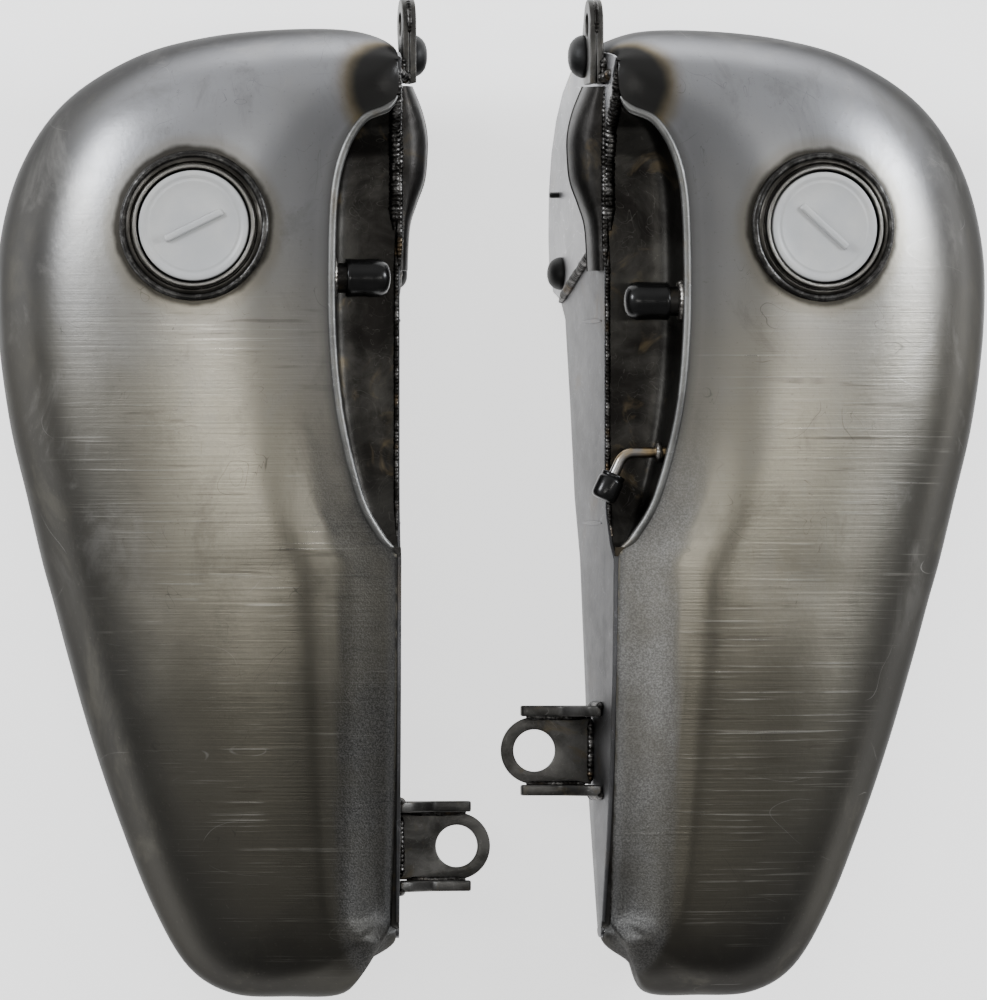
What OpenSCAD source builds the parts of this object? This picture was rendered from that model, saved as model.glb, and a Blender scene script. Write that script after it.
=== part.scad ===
// Pair of split fuel tank halves in bare steel, standing side by side as they are sold.
// +Y is the front of the motorcycle, +Z is up, and the halves stand on z = 0.
// Each half is drawn in its own coordinates: s runs outward from the frame-side wall,
// y runs forward and z runs up. The left half is the mirror image of the right one.

/* [Halves] */
// Distance from the pair's centre plane to the top edge of each frame-side wall
wall_x = 64.3; // [60:0.1:80]
// Thickness of the drawn outer shell
shell_t = 1.6; // [1.2:0.1:2.0]
// Thickness of the flat frame-side panels
panel_t = 2.0; // [1.5:0.1:2.5]
// Lean of the frame-side wall, towards the centre at its lower edge, in degrees
wall_lean = 4.86; // [4:0.01:5.5]
// Height of the crown above the ground
crown_h = 203; // [200:1:206]

/* [Filler] */
// Radius of the white screw cap
cap_r = 33; // [31:0.5:34]
// Length of the raised grip bar on the cap
bar_len = 38; // [30:1:44]
// Pitch of the cap's thread
cap_pitch = 4; // [3:0.5:5]
// Radius of the neck's outer collar
collar_r = 42; // [41:0.5:44]
// Radius of the thread bore in the neck
bore_r = 28.6; // [26:0.1:29]

/* [Front eye] */
// Radius of the hole in the front eye
front_hole_r = 7.25; // [6:0.05:8]
// Outer radius of the front eye
front_eye_r = 15.5; // [14:0.5:17]
// Thickness of each of its two plies
ply_t = 4.1; // [3:0.1:4.1]

/* [Rear eyes] */
// Radius of the hole in each rear eye
rear_hole_r = 12.7; // [10:0.1:13.5]
// Outer radius of the round end of the rear eye
rear_eye_r = 20.3; // [18:0.1:21]
// Thickness of the rear eye's plate
rear_plate_t = 4; // [3:0.5:5]
// Distance from the wall's top edge plane to the rear hole's axis
rear_reach = 40.7; // [38:0.1:43]

/* [Fittings] */
// Outer radius of the vent fitting in the dash recess
vent_r = 9; // [7:0.5:9.5]
// Outer radius of the soft cap on the vent fitting
vent_cap_r = 11.5; // [11:0.5:12]
// Outer radius of the outlet fitting under each half
outlet_r = 9; // [8:0.5:10]
// Outer radius of the thin breather tube on the right half
breather_r = 3.2; // [2.5:0.1:3.5]

/* [Hidden] */

$fn = 64;
gap = 0.05;
free_gap = 0.3;

// Height of the wall's top edge.
edge_h = crown_h - 15;

// Ribs of the outer shell, from the inner front corner round the outside to the inner rear
// corner. Each row is [rim s, rim y, widest s, widest y, widest z, seam s, seam y, seam z].
RIBS = [
    [2, 268, 2, 276, 118, -14, 178, 0],
    [4, 261, 18, 289, 118, 8, 190, 0],
    [7, 253, 58, 292, 118, 45, 202, 0],
    [13, 244, 110, 287, 117, 85, 204, 0],
    [24, 236, 155, 274, 116, 118, 196, 0],
    [35, 219, 196, 247, 115, 146, 178, 0],
    [41.5, 194, 222, 208, 115, 165, 150, 0],
    [43.5, 155, 234.5, 160, 115, 173, 120, 0],
    [43, 105, 235, 110, 115, 174, 85, 0],
    [38, 57, 228, 55, 115, 170, 45, 0],
    [26, 10, 217, 8, 115, 162, 5, 0],
    [13, -14, 208, -30, 114, 156, -28, 0],
    [2, -28, 201, -55, 114, 150, -52, 0],
    [2, -62, 191, -92, 113, 142, -88, 0],
    [2, -112, 177, -140, 112, 131, -132, 4],
    [2, -165, 160, -190, 111, 116, -178, 14],
    [2, -208, 141, -238, 110, 100, -220, 28],
    [2, -232, 120, -274, 110, 84, -249, 44],
    [2, -238, 94, -290, 111, 66, -263, 56],
    [2, -242, 60, -292, 113, 45, -267, 68],
    [2, -245, 28, -290, 118, 26, -264, 86],
    [2, -247.5, 17, -272, 130, 14, -257, 112],
    [2, -250, 2, -256, 147, -2, -251, 140]
];

// Height of the inner rim and of the crown along the length.
RIM_Z = [
    [-256, 150], [-235, 156], [-200, 167], [-150, 178], [-100, 184], [-60, 187],
    [-28, 189], [10, 195], [60, 199], [200, 199], [235, 198], [252, 196], [268, 189]
];
CROWN_Z = [
    [-292, 168], [-240, 176], [-180, 187], [-120, 195], [-60, 200], [0, 203],
    [200, 203], [250, 201], [292, 197]
];
// Lower edge of the frame-side wall, from the front lobe to the rear.
WALL_FOOT = [
    [166, 0], [146, 3], [135, 14], [129, 36], [118, 49], [70, 62], [9, 76],
    [-27, 91], [-105, 106], [-172, 116], [-232, 135], [-250, 141]
];
// Upper edge of the wall where it passes the dash recess.
RECESS_EDGE = [
    [-28, 187], [-18, 176], [0, 165], [20, 161], [215, 161], [232, 166], [244, 178],
    [254, 186]
];
// Line where the front wall panel ends and the rear one begins, as [y, z].
SPLIT_TOP = [168, 161];
SPLIT_FOOT = [129, 36];

// Shares of the way from rim to widest line, and from there down to the seam.
TOP_STEPS = [0, 0.03, 0.08, 0.14, 0.21, 0.3, 0.4, 0.5, 0.6, 0.7, 0.79, 0.86, 0.92, 0.965, 0.99, 1];
LOW_STEPS = [12, 24, 36, 48, 60, 72, 82, 90];
crown_power = 2.3;
dip_start = 0.05;
dip_end = 0.34;
side_power = 0.9;
crest_reach = 90;
rib_steps = 2;

// Front eye: a round lug ahead of the shell, with a pad behind it that carries a bumper.
front_eye_y = 294;
eye_back_y = 258.5;
front_eye_h = crown_h - 51.5;
eye_s = -11.7;
pad_y = 275.5;
pad_h = crown_h - 64.5;
pad_r = 15;
bumper_r = 13;
bumper_out = 9.6;
wall_bumper_y = 146;
wall_bumper_h = 38;
wall_bumper_r = 10;
wall_bumper_out = 8.4;
stud_y = 194;
stud_h = 31;
stud_r = 2;
stud_out = 6;

// Filler neck and cap, on an axis tilted with the shell's surface.
cap_s = 126.5;
cap_y = 172;
neck_h = crown_h - 2.2;
neck_tilt_s = 9.5;
neck_tilt_y = -1.5;
neck_depth = 26;
seat_depth = 7;
counter_r = cap_r + 1.3;
rim_r = counter_r + 2.5;
groove_r = rim_r + 1.2;
plug_r = bore_r - 0.4;
plug_end = 20;
cap_under = 4.7;
bar_w = 4.2;
bar_top = 1.2;
left_bar_turn = 26;
right_bar_turn = -41.5;

// Vent fittings and the breather tube in the dash recess.
vent_h = crown_h - 17.4;
left_vent_y = 141;
right_vent_y = 127.4;
vent_tip_s = 14;
vent_cap_tip_s = 6.3;
vent_cap_len = 27;
breather_h = crown_h - 26;
breather_y = 36.5;
breather_turn_s = 14;
breather_bend_r = 10;
breather_bend = 65;
bend_thinning = 0.1;
breather_end = 22;
breather_cap_r = 8;
breather_cap_len = 17;

// Rear eyes.
rear_eye_h = crown_h - 76;
left_rear_y = -201;
right_rear_y = -143.5;
flange_t = 6.5;
flange_in = rear_eye_r + 0.4;
flange_top = 158;
flange_tip = 8.5;

// Outlet under each half, in the sloping bottom panel.
outlet_s = 46;
outlet_y = -96;
outlet_tip_h = 30;
outlet_top_h = 66;

tank_rear = -292.4;

// The origin is midway between the eye's tip and the rear end.
mid_y = (front_eye_y + front_eye_r + tank_rear) / 2;

// ---------------------------------------------------------------- helpers

function mix(a, b, t) = a + (b - a) * t;
function limit(t) = max(0, min(1, t));
function ease(t) = limit(t) * limit(t) * (3 - 2 * limit(t));
function row(p, i) = p[max(0, min(len(p) - 1, i))];

// Catmull-Rom value of a list of rows at a fractional index.
function spline(p, u) =
    let (
        i = min(floor(u), len(p) - 2),
        t = u - i,
        a = row(p, i - 1),
        b = row(p, i),
        c = row(p, i + 1),
        d = row(p, i + 2)
    )
    0.5 * ((2 * b) + (c - a) * t + (2 * a - 5 * b + 4 * c - d) * t * t
        + (3 * b - a - 3 * c + d) * t * t * t);

// The wall's frame-side face leans towards the centre below its top edge.
function wall_s(z) = -tan(wall_lean) * (edge_h - z);

// Closed sheet between two grids of points with the same rows and columns.
module sheet(top, under) {
    n = len(top);
    m = len(top[0]);
    pts = concat([for (r = top) each r], [for (r = under) each r]);
    k = n * m;
    faces = concat(
        [for (i = [0 : n - 2], j = [0 : m - 2]) each [
            [i * m + j, i * m + j + 1, (i + 1) * m + j + 1],
            [i * m + j, (i + 1) * m + j + 1, (i + 1) * m + j]
        ]],
        [for (i = [0 : n - 2], j = [0 : m - 2]) each [
            [k + i * m + j, k + (i + 1) * m + j + 1, k + i * m + j + 1],
            [k + i * m + j, k + (i + 1) * m + j, k + (i + 1) * m + j + 1]
        ]],
        [for (j = [0 : m - 2]) each [
            [j, k + j + 1, j + 1],
            [j, k + j, k + j + 1]
        ]],
        [for (j = [0 : m - 2]) let (a = (n - 1) * m + j) each [
            [a, a + 1, k + a + 1],
            [a, k + a + 1, k + a]
        ]],
        [for (i = [0 : n - 2]) let (a = i * m, b = a + m) each [
            [a, b, k + b],
            [a, k + b, k + a]
        ]],
        [for (i = [0 : n - 2]) let (a = i * m + m - 1, b = a + m) each [
            [a, k + b, b],
            [a, k + a, k + b]
        ]]
    );
    polyhedron(points = pts, faces = faces, convexity = 8);
}

// Unit normal of a grid at row i, column j.
function grid_normal(g, i, j) =
    let (
        n = len(g) - 1,
        m = len(g[0]) - 1,
        du = g[min(n, i + 1)][j] - g[max(0, i - 1)][j],
        dv = g[i][min(m, j + 1)] - g[i][max(0, j - 1)],
        c = cross(du, dv)
    )
    c / norm(c);

// Grid moved along its normals.
function offset_grid(g, d) = [
    for (i = [0 : len(g) - 1]) [
        for (j = [0 : len(g[0]) - 1]) g[i][j] + grid_normal(g, i, j) * d
    ]
];

// ---------------------------------------------------------------- shell

// One meridian of the outer shell at rib position u.
function meridian(u) =
    let (
        r = spline(RIBS, u),
        last = len(RIBS) - 1,
        rim = [max(panel_t, r[0]), r[1]],
        wide = [max(panel_t, r[2]), r[3]],
        rim_z = lookup(rim[1], RIM_Z),
        crest = max(rim_z, lookup(mix(rim[1], wide[1], 0.4), CROWN_Z)),
        crown = mix(rim_z, crest, ease(norm(wide - rim) / crest_reach)),
        edge = max(ease(1 - u), ease(u - last + 1))
    )
    concat(
        [for (f = TOP_STEPS)
            let (
                z = mix(r[4], crown, pow(1 - pow(f, crown_power), 1 / crown_power))
                    - (crown - rim_z) * (1 - ease((f - dip_start) / (dip_end - dip_start)))
                    * (1 - f),
                s = mix(rim[0], wide[0], f)
            )
            [mix(s, wall_s(z) + panel_t, edge), mix(rim[1], wide[1], f), z]],
        [for (a = LOW_STEPS)
            let (
                f = 1 - pow(cos(a), side_power),
                z = mix(r[4], max(0, r[7]), sin(a)),
                s = mix(wide[0], r[5], f)
            )
            [mix(s, wall_s(z) + panel_t, edge), mix(wide[1], r[6], f), z]]
    );

rib_count = (len(RIBS) - 1) * rib_steps;
function shell_grid() = [for (i = [0 : rib_count]) meridian(i / rib_steps)];

// Axis of the filler neck, with z = 0 at the top of its ring.
module neck_frame() {
    translate([cap_s, cap_y, neck_h])
        rotate([neck_tilt_y, neck_tilt_s, 0])
            children();
}

module outer_shell() {
    color("#8f8d87")
        difference() {
            let (g = shell_grid()) sheet(g, offset_grid(g, -shell_t));
            neck_frame()
                translate([0, 0, -neck_depth])
                    cylinder(r = collar_r + free_gap, h = 2 * neck_depth);
        }
}

// ---------------------------------------------------------------- frame-side wall

// Places children in the leaning plane: x is y, y is along the wall, z is out of its back.
module on_wall() {
    translate([0, 0, edge_h])
        rotate([0, wall_lean, 0])
            rotate([90, 0, 90])
                children();
}
function wall_point(p) = [p[0], (max(0.3, p[1]) - edge_h) / cos(wall_lean)];

module panel(outline) {
    on_wall()
        linear_extrude(panel_t * cos(wall_lean) - gap)
            polygon([for (p = outline) wall_point(p)]);
}

function profile(u) = [for (p = meridian(u)) [p[1], p[2]]];
foot_split = [for (p = WALL_FOOT) if (p[0] > SPLIT_FOOT[0]) p];
foot_rear = [for (p = WALL_FOOT) if (p[0] < SPLIT_FOOT[0]) p];
recess_front = [for (p = RECESS_EDGE) if (p[0] > SPLIT_TOP[0]) p];
recess_rear = [for (p = RECESS_EDGE) if (p[0] < SPLIT_TOP[0]) p];
split_gap = 0.4;

module inner_panel_front() {
    color("#77787c")
        panel(concat(
            profile(0),
            foot_split,
            [SPLIT_FOOT + [split_gap, 0], SPLIT_TOP + [split_gap, 0]],
            recess_front,
            [[262, 183]]
        ));
}

rim_line = [for (y = [-235, -200, -150, -100, -60]) [y, lookup(y, RIM_Z) - 0.2]];

module inner_panel_rear() {
    last = profile(len(RIBS) - 1);
    color("#5d5e62")
        panel(concat(
            [SPLIT_FOOT],
            foot_rear,
            [for (i = [len(last) - 1 : -1 : 0]) last[i]],
            rim_line,
            recess_rear,
            [SPLIT_TOP]
        ));
}

// ---------------------------------------------------------------- bottom panel

// Where the bottom panel meets the wall, along the ribs.
FOOT_Y = [
    [0, 160], [2, 147], [4, 134], [6, 114], [8, 82], [9, 45], [11, -28], [13, -88],
    [15, -178], [16, -208], [17, -226], [18, -234], [19, -239], [20, -243], [21, -246],
    [22, -249]
];
FOOT_Z = concat([[-250, 141]], [for (i = [len(WALL_FOOT) - 2 : -1 : 0]) WALL_FOOT[i]]);
foot_curve = 1.6;
bottom_t = 1.3;
panel_gap = 1.3;
bottom_steps = 6;

function bottom_row(u) =
    let (
        b = spline(RIBS, u),
        y = lookup(u, FOOT_Y),
        z = lookup(y, FOOT_Z),
        foot = [wall_s(z) + panel_t + panel_gap, y, z],
        seam = [max(b[5], wall_s(b[7]) + panel_t + panel_gap), b[6], max(0, b[7])],
        start = seam + (foot - seam) * panel_gap / norm(foot - seam)
    )
    [for (j = [0 : bottom_steps])
        let (t = j / bottom_steps)
        [mix(start[0], foot[0], t), mix(start[1], foot[1], t),
            mix(seam[2], foot[2], pow(t, foot_curve))]];

function bottom_grid() = [for (i = [0 : rib_count]) bottom_row(i / rib_steps)];

module bottom_panel() {
    color("#6f6e6a")
        difference() {
            let (g = bottom_grid()) sheet(g, offset_grid(g, -bottom_t));
            translate([outlet_s, outlet_y, outlet_tip_h])
                cylinder(r = outlet_r + free_gap, h = 60);
        }
}

// ---------------------------------------------------------------- dash pan

// Steps across the pan from the wall's edge to the rim: share of width and share of depth.
PAN_STEPS = [
    [1, 1], [0.8, 1], [0.5, 1.02], [0.26, 0.98], [0.14, 0.86], [0.07, 0.6], [0.03, 0.3], [0, 0]
];
pan_first = 2.4;
pan_last = 11.6;
pan_t = 1.4;
pan_rows = 24;

function pan_row(u) =
    let (
        r = spline(RIBS, u),
        rim_z = lookup(r[1], RIM_Z) - shell_t - 0.5,
        edge_z = min(rim_z - 3, lookup(r[1], RECESS_EDGE)),
        edge_s = wall_s(edge_z) + panel_t + 0.15
    )
    [for (p = PAN_STEPS) [mix(r[0], edge_s, p[0]), r[1], mix(rim_z, edge_z, p[1])]];

module dash_pan(vent_y, breather) {
    g = [for (i = [0 : pan_rows]) pan_row(mix(pan_first, pan_last, i / pan_rows))];
    color("#2c2b2a")
        difference() {
            sheet(g, offset_grid(g, -pan_t));
            translate([25, vent_y, vent_h])
                rotate([0, 90, 0])
                    cylinder(r = vent_r + free_gap, h = 40);
            if (breather)
                translate([20, breather_y, breather_h])
                    rotate([0, 90, 0])
                        cylinder(r = breather_r + free_gap, h = 40);
        }
}

// ---------------------------------------------------------------- filler

module filler_neck() {
    color("#4a4742")
        neck_frame()
            rotate_extrude()
                polygon([
                    [bore_r, -neck_depth], [bore_r + 4, -neck_depth], [bore_r + 4, -9],
                    [collar_r, -9], [collar_r, -4.5], [collar_r - 1.5, -3], [groove_r, -2],
                    [groove_r, -3.4], [rim_r, -3.4], [rim_r, -0.8], [rim_r - 0.8, 0],
                    [counter_r + 0.6, 0], [counter_r, -0.6], [counter_r, -seat_depth],
                    [bore_r, -seat_depth]
                ]);
}

module filler_cap(bar_turn) {
    color("#e9e7e2")
        neck_frame() {
            rotate_extrude()
                polygon([
                    [0, -cap_under], [plug_r - 3, -cap_under], [plug_r - 3, -plug_end],
                    [plug_r - 0.8, -plug_end], [plug_r, -plug_end + 0.8],
                    [plug_r, -cap_under], [cap_r - 0.5, -cap_under], [cap_r, -cap_under + 0.5],
                    [cap_r, -1.3], [cap_r - 0.8, -0.6], [cap_r - 3, -0.6], [cap_r - 4.2, -1.6],
                    [0, -1.6]
                ]);
            rotate([0, 0, bar_turn])
                translate([0, 0, bar_top / 2 - 1])
                    cube([bar_len, bar_w, bar_top + 2], center = true);
        }
}

module cap_gasket() {
    color("#1b1b1b")
        neck_frame()
            translate([0, 0, -seat_depth + 0.3])
                difference() {
                    cylinder(r = counter_r - 0.5, h = 1.7);
                    translate([0, 0, -1])
                        cylinder(r = plug_r + 0.5, h = 4);
                }
}

// ---------------------------------------------------------------- front eye and gusset

// Plate standing across the s axis, from a flat outline of y and z.
module upright(s, t) {
    translate([s, 0, 0])
        rotate([90, 0, 90])
            linear_extrude(t)
                children();
}

module eye_outline(back_h) {
    difference() {
        union() {
            translate([front_eye_y, front_eye_h])
                circle(r = front_eye_r);
            translate([eye_back_y, back_h])
                square([front_eye_y - eye_back_y, front_eye_h + front_eye_r - back_h]);
            children();
        }
        translate([front_eye_y, front_eye_h])
            circle(r = front_hole_r);
    }
}

module front_bracket() {
    color("#3d3b38")
        upright(eye_s, ply_t)
            eye_outline(front_eye_h - front_eye_r + 1.5) {
                translate([pad_y, pad_h])
                    circle(r = pad_r);
            }
}

module front_doubler() {
    color("#45433f")
        upright(eye_s + ply_t + gap, ply_t)
            eye_outline(front_eye_h);
}

// Free edge of the gusset along the length, and its rise from the wall.
GUSSET = [
    [146, -9.5], [172, -11], [186, -15], [200, -20], [214, -21.6], [228, -21.6], [242, -18.5],
    [257, -12.5]
];
gusset_t = 3;
gusset_top = 160;
gusset_lip = crown_h - 67;

function gusset_row(p) = [
    [wall_s(gusset_top) - 0.3, p[0], gusset_top],
    [mix(wall_s(gusset_top), p[1], 0.55), p[0], gusset_top - 4],
    [mix(wall_s(gusset_top), p[1], 0.9), p[0], mix(gusset_top, gusset_lip, 0.55)],
    [p[1], p[0], gusset_lip]
];

module front_gusset() {
    g = [for (p = GUSSET) gusset_row(p)];
    under = [for (r = g) [for (p = r) p - [-0.8, 0, gusset_t]]];
    shifted = [for (r = under) [for (p = r) [min(p[0], wall_s(p[2]) - 0.3), p[1], p[2]]]];
    color("#2b2a28")
        sheet(g, shifted);
}

// Round rubber bumper with a domed end, along +z from its base.
module bumper(r, out) {
    color("#141414")
        rotate_extrude()
            polygon([
                [0, 0], [r, 0], [r, out * 0.45], [r * 0.92, out * 0.72], [r * 0.7, out * 0.93],
                [r * 0.4, out], [0, out]
            ]);
}

module eye_bumper() {
    translate([eye_s - gap, pad_y, pad_h])
        rotate([0, -90, 0])
            bumper(bumper_r, bumper_out);
}

module wall_bumper() {
    on_wall()
        translate([wall_bumper_y, (wall_bumper_h - edge_h) / cos(wall_lean), -gap])
            mirror([0, 0, 1])
                bumper(wall_bumper_r, wall_bumper_out);
}

module wall_stud() {
    color("#2a2a2a")
        on_wall()
            translate([stud_y, (stud_h - edge_h) / cos(wall_lean), -stud_out - gap])
                cylinder(r = stud_r, h = stud_out);
}

// ---------------------------------------------------------------- rear eyes

module rear_bracket(y) {
    color("#35332f")
        translate([0, y, rear_eye_h - rear_plate_t / 2])
            linear_extrude(rear_plate_t)
                difference() {
                    union() {
                        translate([-rear_reach, 0])
                            circle(r = rear_eye_r);
                        translate([-rear_reach, -rear_eye_r])
                            square([rear_reach - 5.8, 2 * rear_eye_r]);
                    }
                    translate([-rear_reach, 0])
                        circle(r = rear_hole_r);
                }
}

module rear_flange(y) {
    low = rear_eye_h - rear_plate_t / 2;
    translate([0, y + flange_t, 0])
        rotate([90, 0, 0])
            linear_extrude(flange_t)
                polygon([
                    [wall_s(low) - 0.3, low], [wall_s(flange_top) - 0.3, flange_top],
                    [-11, flange_top - 4], [-26, low + 12], [-rear_reach - flange_tip, low + 8],
                    [-rear_reach - flange_tip, low]
                ]);
}

module rear_flanges(y) {
    color("#302e2b") {
        rear_flange(y + flange_in);
        rear_flange(y - flange_in - flange_t);
    }
}

// ---------------------------------------------------------------- fittings

module vent_fitting(y) {
    color("#3a3937")
        translate([0, y, vent_h])
            rotate([0, 90, 0])
                difference() {
                    translate([0, 0, vent_tip_s])
                        cylinder(r = vent_r, h = 40);
                    translate([0, 0, vent_tip_s - 1])
                        cylinder(r = vent_r - 2.5, h = 42);
                }
}

module vent_cap(y) {
    r = vent_cap_r;
    color("#101010")
        translate([vent_cap_tip_s, y, vent_h])
            rotate([0, 90, 0])
                rotate_extrude()
                    polygon([
                        [0, 0], [r * 0.45, 0.5], [r * 0.8, 2.4], [r * 0.96, 5.2], [r, 8],
                        [r, vent_cap_len], [vent_r + free_gap, vent_cap_len],
                        [vent_r + free_gap, vent_tip_s - vent_cap_tip_s - 0.4],
                        [0, vent_tip_s - vent_cap_tip_s - 0.4]
                    ]);
}

// End of the breather's bend and the way it points from there.
bend_end = [
    breather_turn_s - breather_bend_r * sin(breather_bend),
    breather_y - breather_bend_r * (1 - cos(breather_bend))
];
module at_breather_end() {
    translate([bend_end[0], bend_end[1], breather_h])
        rotate([0, 0, 180 + breather_bend])
            rotate([0, 90, 0])
                children();
}

module breather_tube() {
    color("#6b5a41") {
        translate([breather_turn_s, breather_y, breather_h])
            rotate([0, 90, 0])
                cylinder(r = breather_r, h = 34);
        translate([breather_turn_s, breather_y - breather_bend_r, breather_h])
            rotate([0, 0, 90])
                rotate_extrude(angle = breather_bend)
                    translate([breather_bend_r, 0])
                        circle(r = breather_r - bend_thinning);
        at_breather_end()
            cylinder(r = breather_r, h = breather_end);
    }
}

module breather_cap() {
    r = breather_cap_r;
    start = breather_end - breather_cap_len + 3;
    color("#0f0f0f")
        at_breather_end()
            translate([0, 0, start])
                rotate_extrude()
                    polygon([
                        [breather_r + free_gap, 0], [r - 0.6, 0], [r, 0.6], [r, breather_cap_len - 1],
                        [r - 1, breather_cap_len], [0, breather_cap_len],
                        [0, breather_end - start + 0.4], [breather_r + free_gap, breather_end - start + 0.4]
                    ]);
}

module outlet_fitting() {
    color("#55524c")
        translate([outlet_s, outlet_y, outlet_tip_h])
            difference() {
                cylinder(r = outlet_r, h = outlet_top_h - outlet_tip_h);
                translate([0, 0, -1])
                    cylinder(r = outlet_r - 3, h = outlet_top_h);
            }
}

module outlet_plug() {
    color("#b3322a")
        translate([outlet_s, outlet_y, outlet_tip_h]) {
            translate([0, 0, -3.3])
                cylinder(r = outlet_r + 2, h = 3);
            translate([0, 0, -1])
                cylinder(r = outlet_r - 3.3, h = 11);
        }
}

module outlet_cap() {
    color("#101010")
        translate([outlet_s, outlet_y, outlet_tip_h])
            difference() {
                translate([0, 0, -2.5])
                    cylinder(r = outlet_r + 2.3, h = 11.5);
                translate([0, 0, -0.4])
                    cylinder(r = outlet_r + free_gap, h = 20);
            }
}

// ---------------------------------------------------------------- build

// Puts a half's own coordinates at its place in the pair.
module right_side() {
    translate([wall_x, -mid_y, 0])
        children();
}
module left_side() {
    mirror([1, 0, 0])
        right_side()
            children();
}

left_side() outer_shell();  // left_outer_shell
left_side() inner_panel_front();  // left_inner_panel_front
left_side() inner_panel_rear();  // left_inner_panel_rear
left_side() bottom_panel();  // left_bottom_panel
left_side() dash_pan(left_vent_y, false);  // left_dash_pan
left_side() filler_neck();  // left_filler_neck
left_side() filler_cap(-left_bar_turn);  // left_filler_cap
left_side() cap_gasket();  // left_cap_gasket
left_side() front_bracket();  // left_front_bracket
left_side() front_doubler();  // left_front_doubler
left_side() front_gusset();  // left_front_gusset
left_side() rear_bracket(left_rear_y);  // left_rear_bracket
left_side() rear_flanges(left_rear_y);  // left_rear_flanges
left_side() vent_fitting(left_vent_y);  // left_vent_fitting
left_side() vent_cap(left_vent_y);  // left_vent_cap
left_side() eye_bumper();  // left_eye_bumper
left_side() wall_bumper();  // left_wall_bumper
left_side() wall_stud();  // left_wall_stud
left_side() outlet_fitting();  // left_outlet_fitting
left_side() outlet_plug();  // left_outlet_plug
right_side() outer_shell();  // right_outer_shell
right_side() inner_panel_front();  // right_inner_panel_front
right_side() inner_panel_rear();  // right_inner_panel_rear
right_side() bottom_panel();  // right_bottom_panel
right_side() dash_pan(right_vent_y, true);  // right_dash_pan
right_side() filler_neck();  // right_filler_neck
right_side() filler_cap(right_bar_turn);  // right_filler_cap
right_side() cap_gasket();  // right_cap_gasket
right_side() front_bracket();  // right_front_bracket
right_side() front_doubler();  // right_front_doubler
right_side() front_gusset();  // right_front_gusset
right_side() rear_bracket(right_rear_y);  // right_rear_bracket
right_side() rear_flanges(right_rear_y);  // right_rear_flanges
right_side() vent_fitting(right_vent_y);  // right_vent_fitting
right_side() vent_cap(right_vent_y);  // right_vent_cap
right_side() eye_bumper();  // right_eye_bumper
right_side() wall_bumper();  // right_wall_bumper
right_side() wall_stud();  // right_wall_stud
right_side() outlet_fitting();  // right_outlet_fitting
right_side() outlet_cap();  // right_outlet_cap
right_side() breather_tube();  // right_breather_tube
right_side() breather_cap();  // right_breather_cap
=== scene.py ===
import math
import random

import bmesh
import bpy
from mathutils import Matrix, Vector, noise


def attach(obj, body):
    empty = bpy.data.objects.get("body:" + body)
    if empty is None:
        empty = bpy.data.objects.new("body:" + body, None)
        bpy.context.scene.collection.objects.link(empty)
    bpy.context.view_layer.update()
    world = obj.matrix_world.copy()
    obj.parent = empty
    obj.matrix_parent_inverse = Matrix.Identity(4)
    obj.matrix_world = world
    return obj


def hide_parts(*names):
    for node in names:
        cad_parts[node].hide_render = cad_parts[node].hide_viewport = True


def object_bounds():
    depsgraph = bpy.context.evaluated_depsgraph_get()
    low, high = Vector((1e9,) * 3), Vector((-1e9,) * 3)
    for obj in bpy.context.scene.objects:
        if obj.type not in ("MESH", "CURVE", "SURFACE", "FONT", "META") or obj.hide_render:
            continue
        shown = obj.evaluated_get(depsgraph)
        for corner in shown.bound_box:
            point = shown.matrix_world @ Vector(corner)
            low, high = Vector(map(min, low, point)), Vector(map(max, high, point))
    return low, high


# Lengths are in millimetres in a half's own coordinates: s outward from the frame-side
# wall, y forward, z up. They become metres in the shared frame when a mesh is made.
MM = 0.001
WALL_X = 64.3
MID_Y = 8.55
LEAN = math.radians(4.86)
EDGE_H = 188.0
SHELL_T = 1.6
PANEL_T = 2.0
CAP_R = 33.0
COLLAR_R = 42.0
BORE_R = 28.6
NECK = Vector((126.5, 172.0, 200.8))
NECK_TILT = (math.radians(-1.5), math.radians(9.5))
NECK_DEPTH = 26.0
SEAT = 7.0
EYE = (294.0, 151.5)
EYE_R = 15.5
EYE_HOLE = 7.25
EYE_S = -11.7
PLY_T = 4.1
PAD = (275.5, 138.5)
REAR_R = 20.3
REAR_HOLE = 12.7
REAR_T = 4.0
REAR_REACH = 40.7
REAR_Z = 127.0
FLANGE_T = 6.5
REAR_Y = {"left": -201.0, "right": -143.5}
VENT_Y = {"left": 141.0, "right": 127.4}
VENT_Z = 185.6
OUTLET = (46.0, -96.0, 30.0)
BAR_TURN = {"left": -26.0, "right": -41.5}

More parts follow.
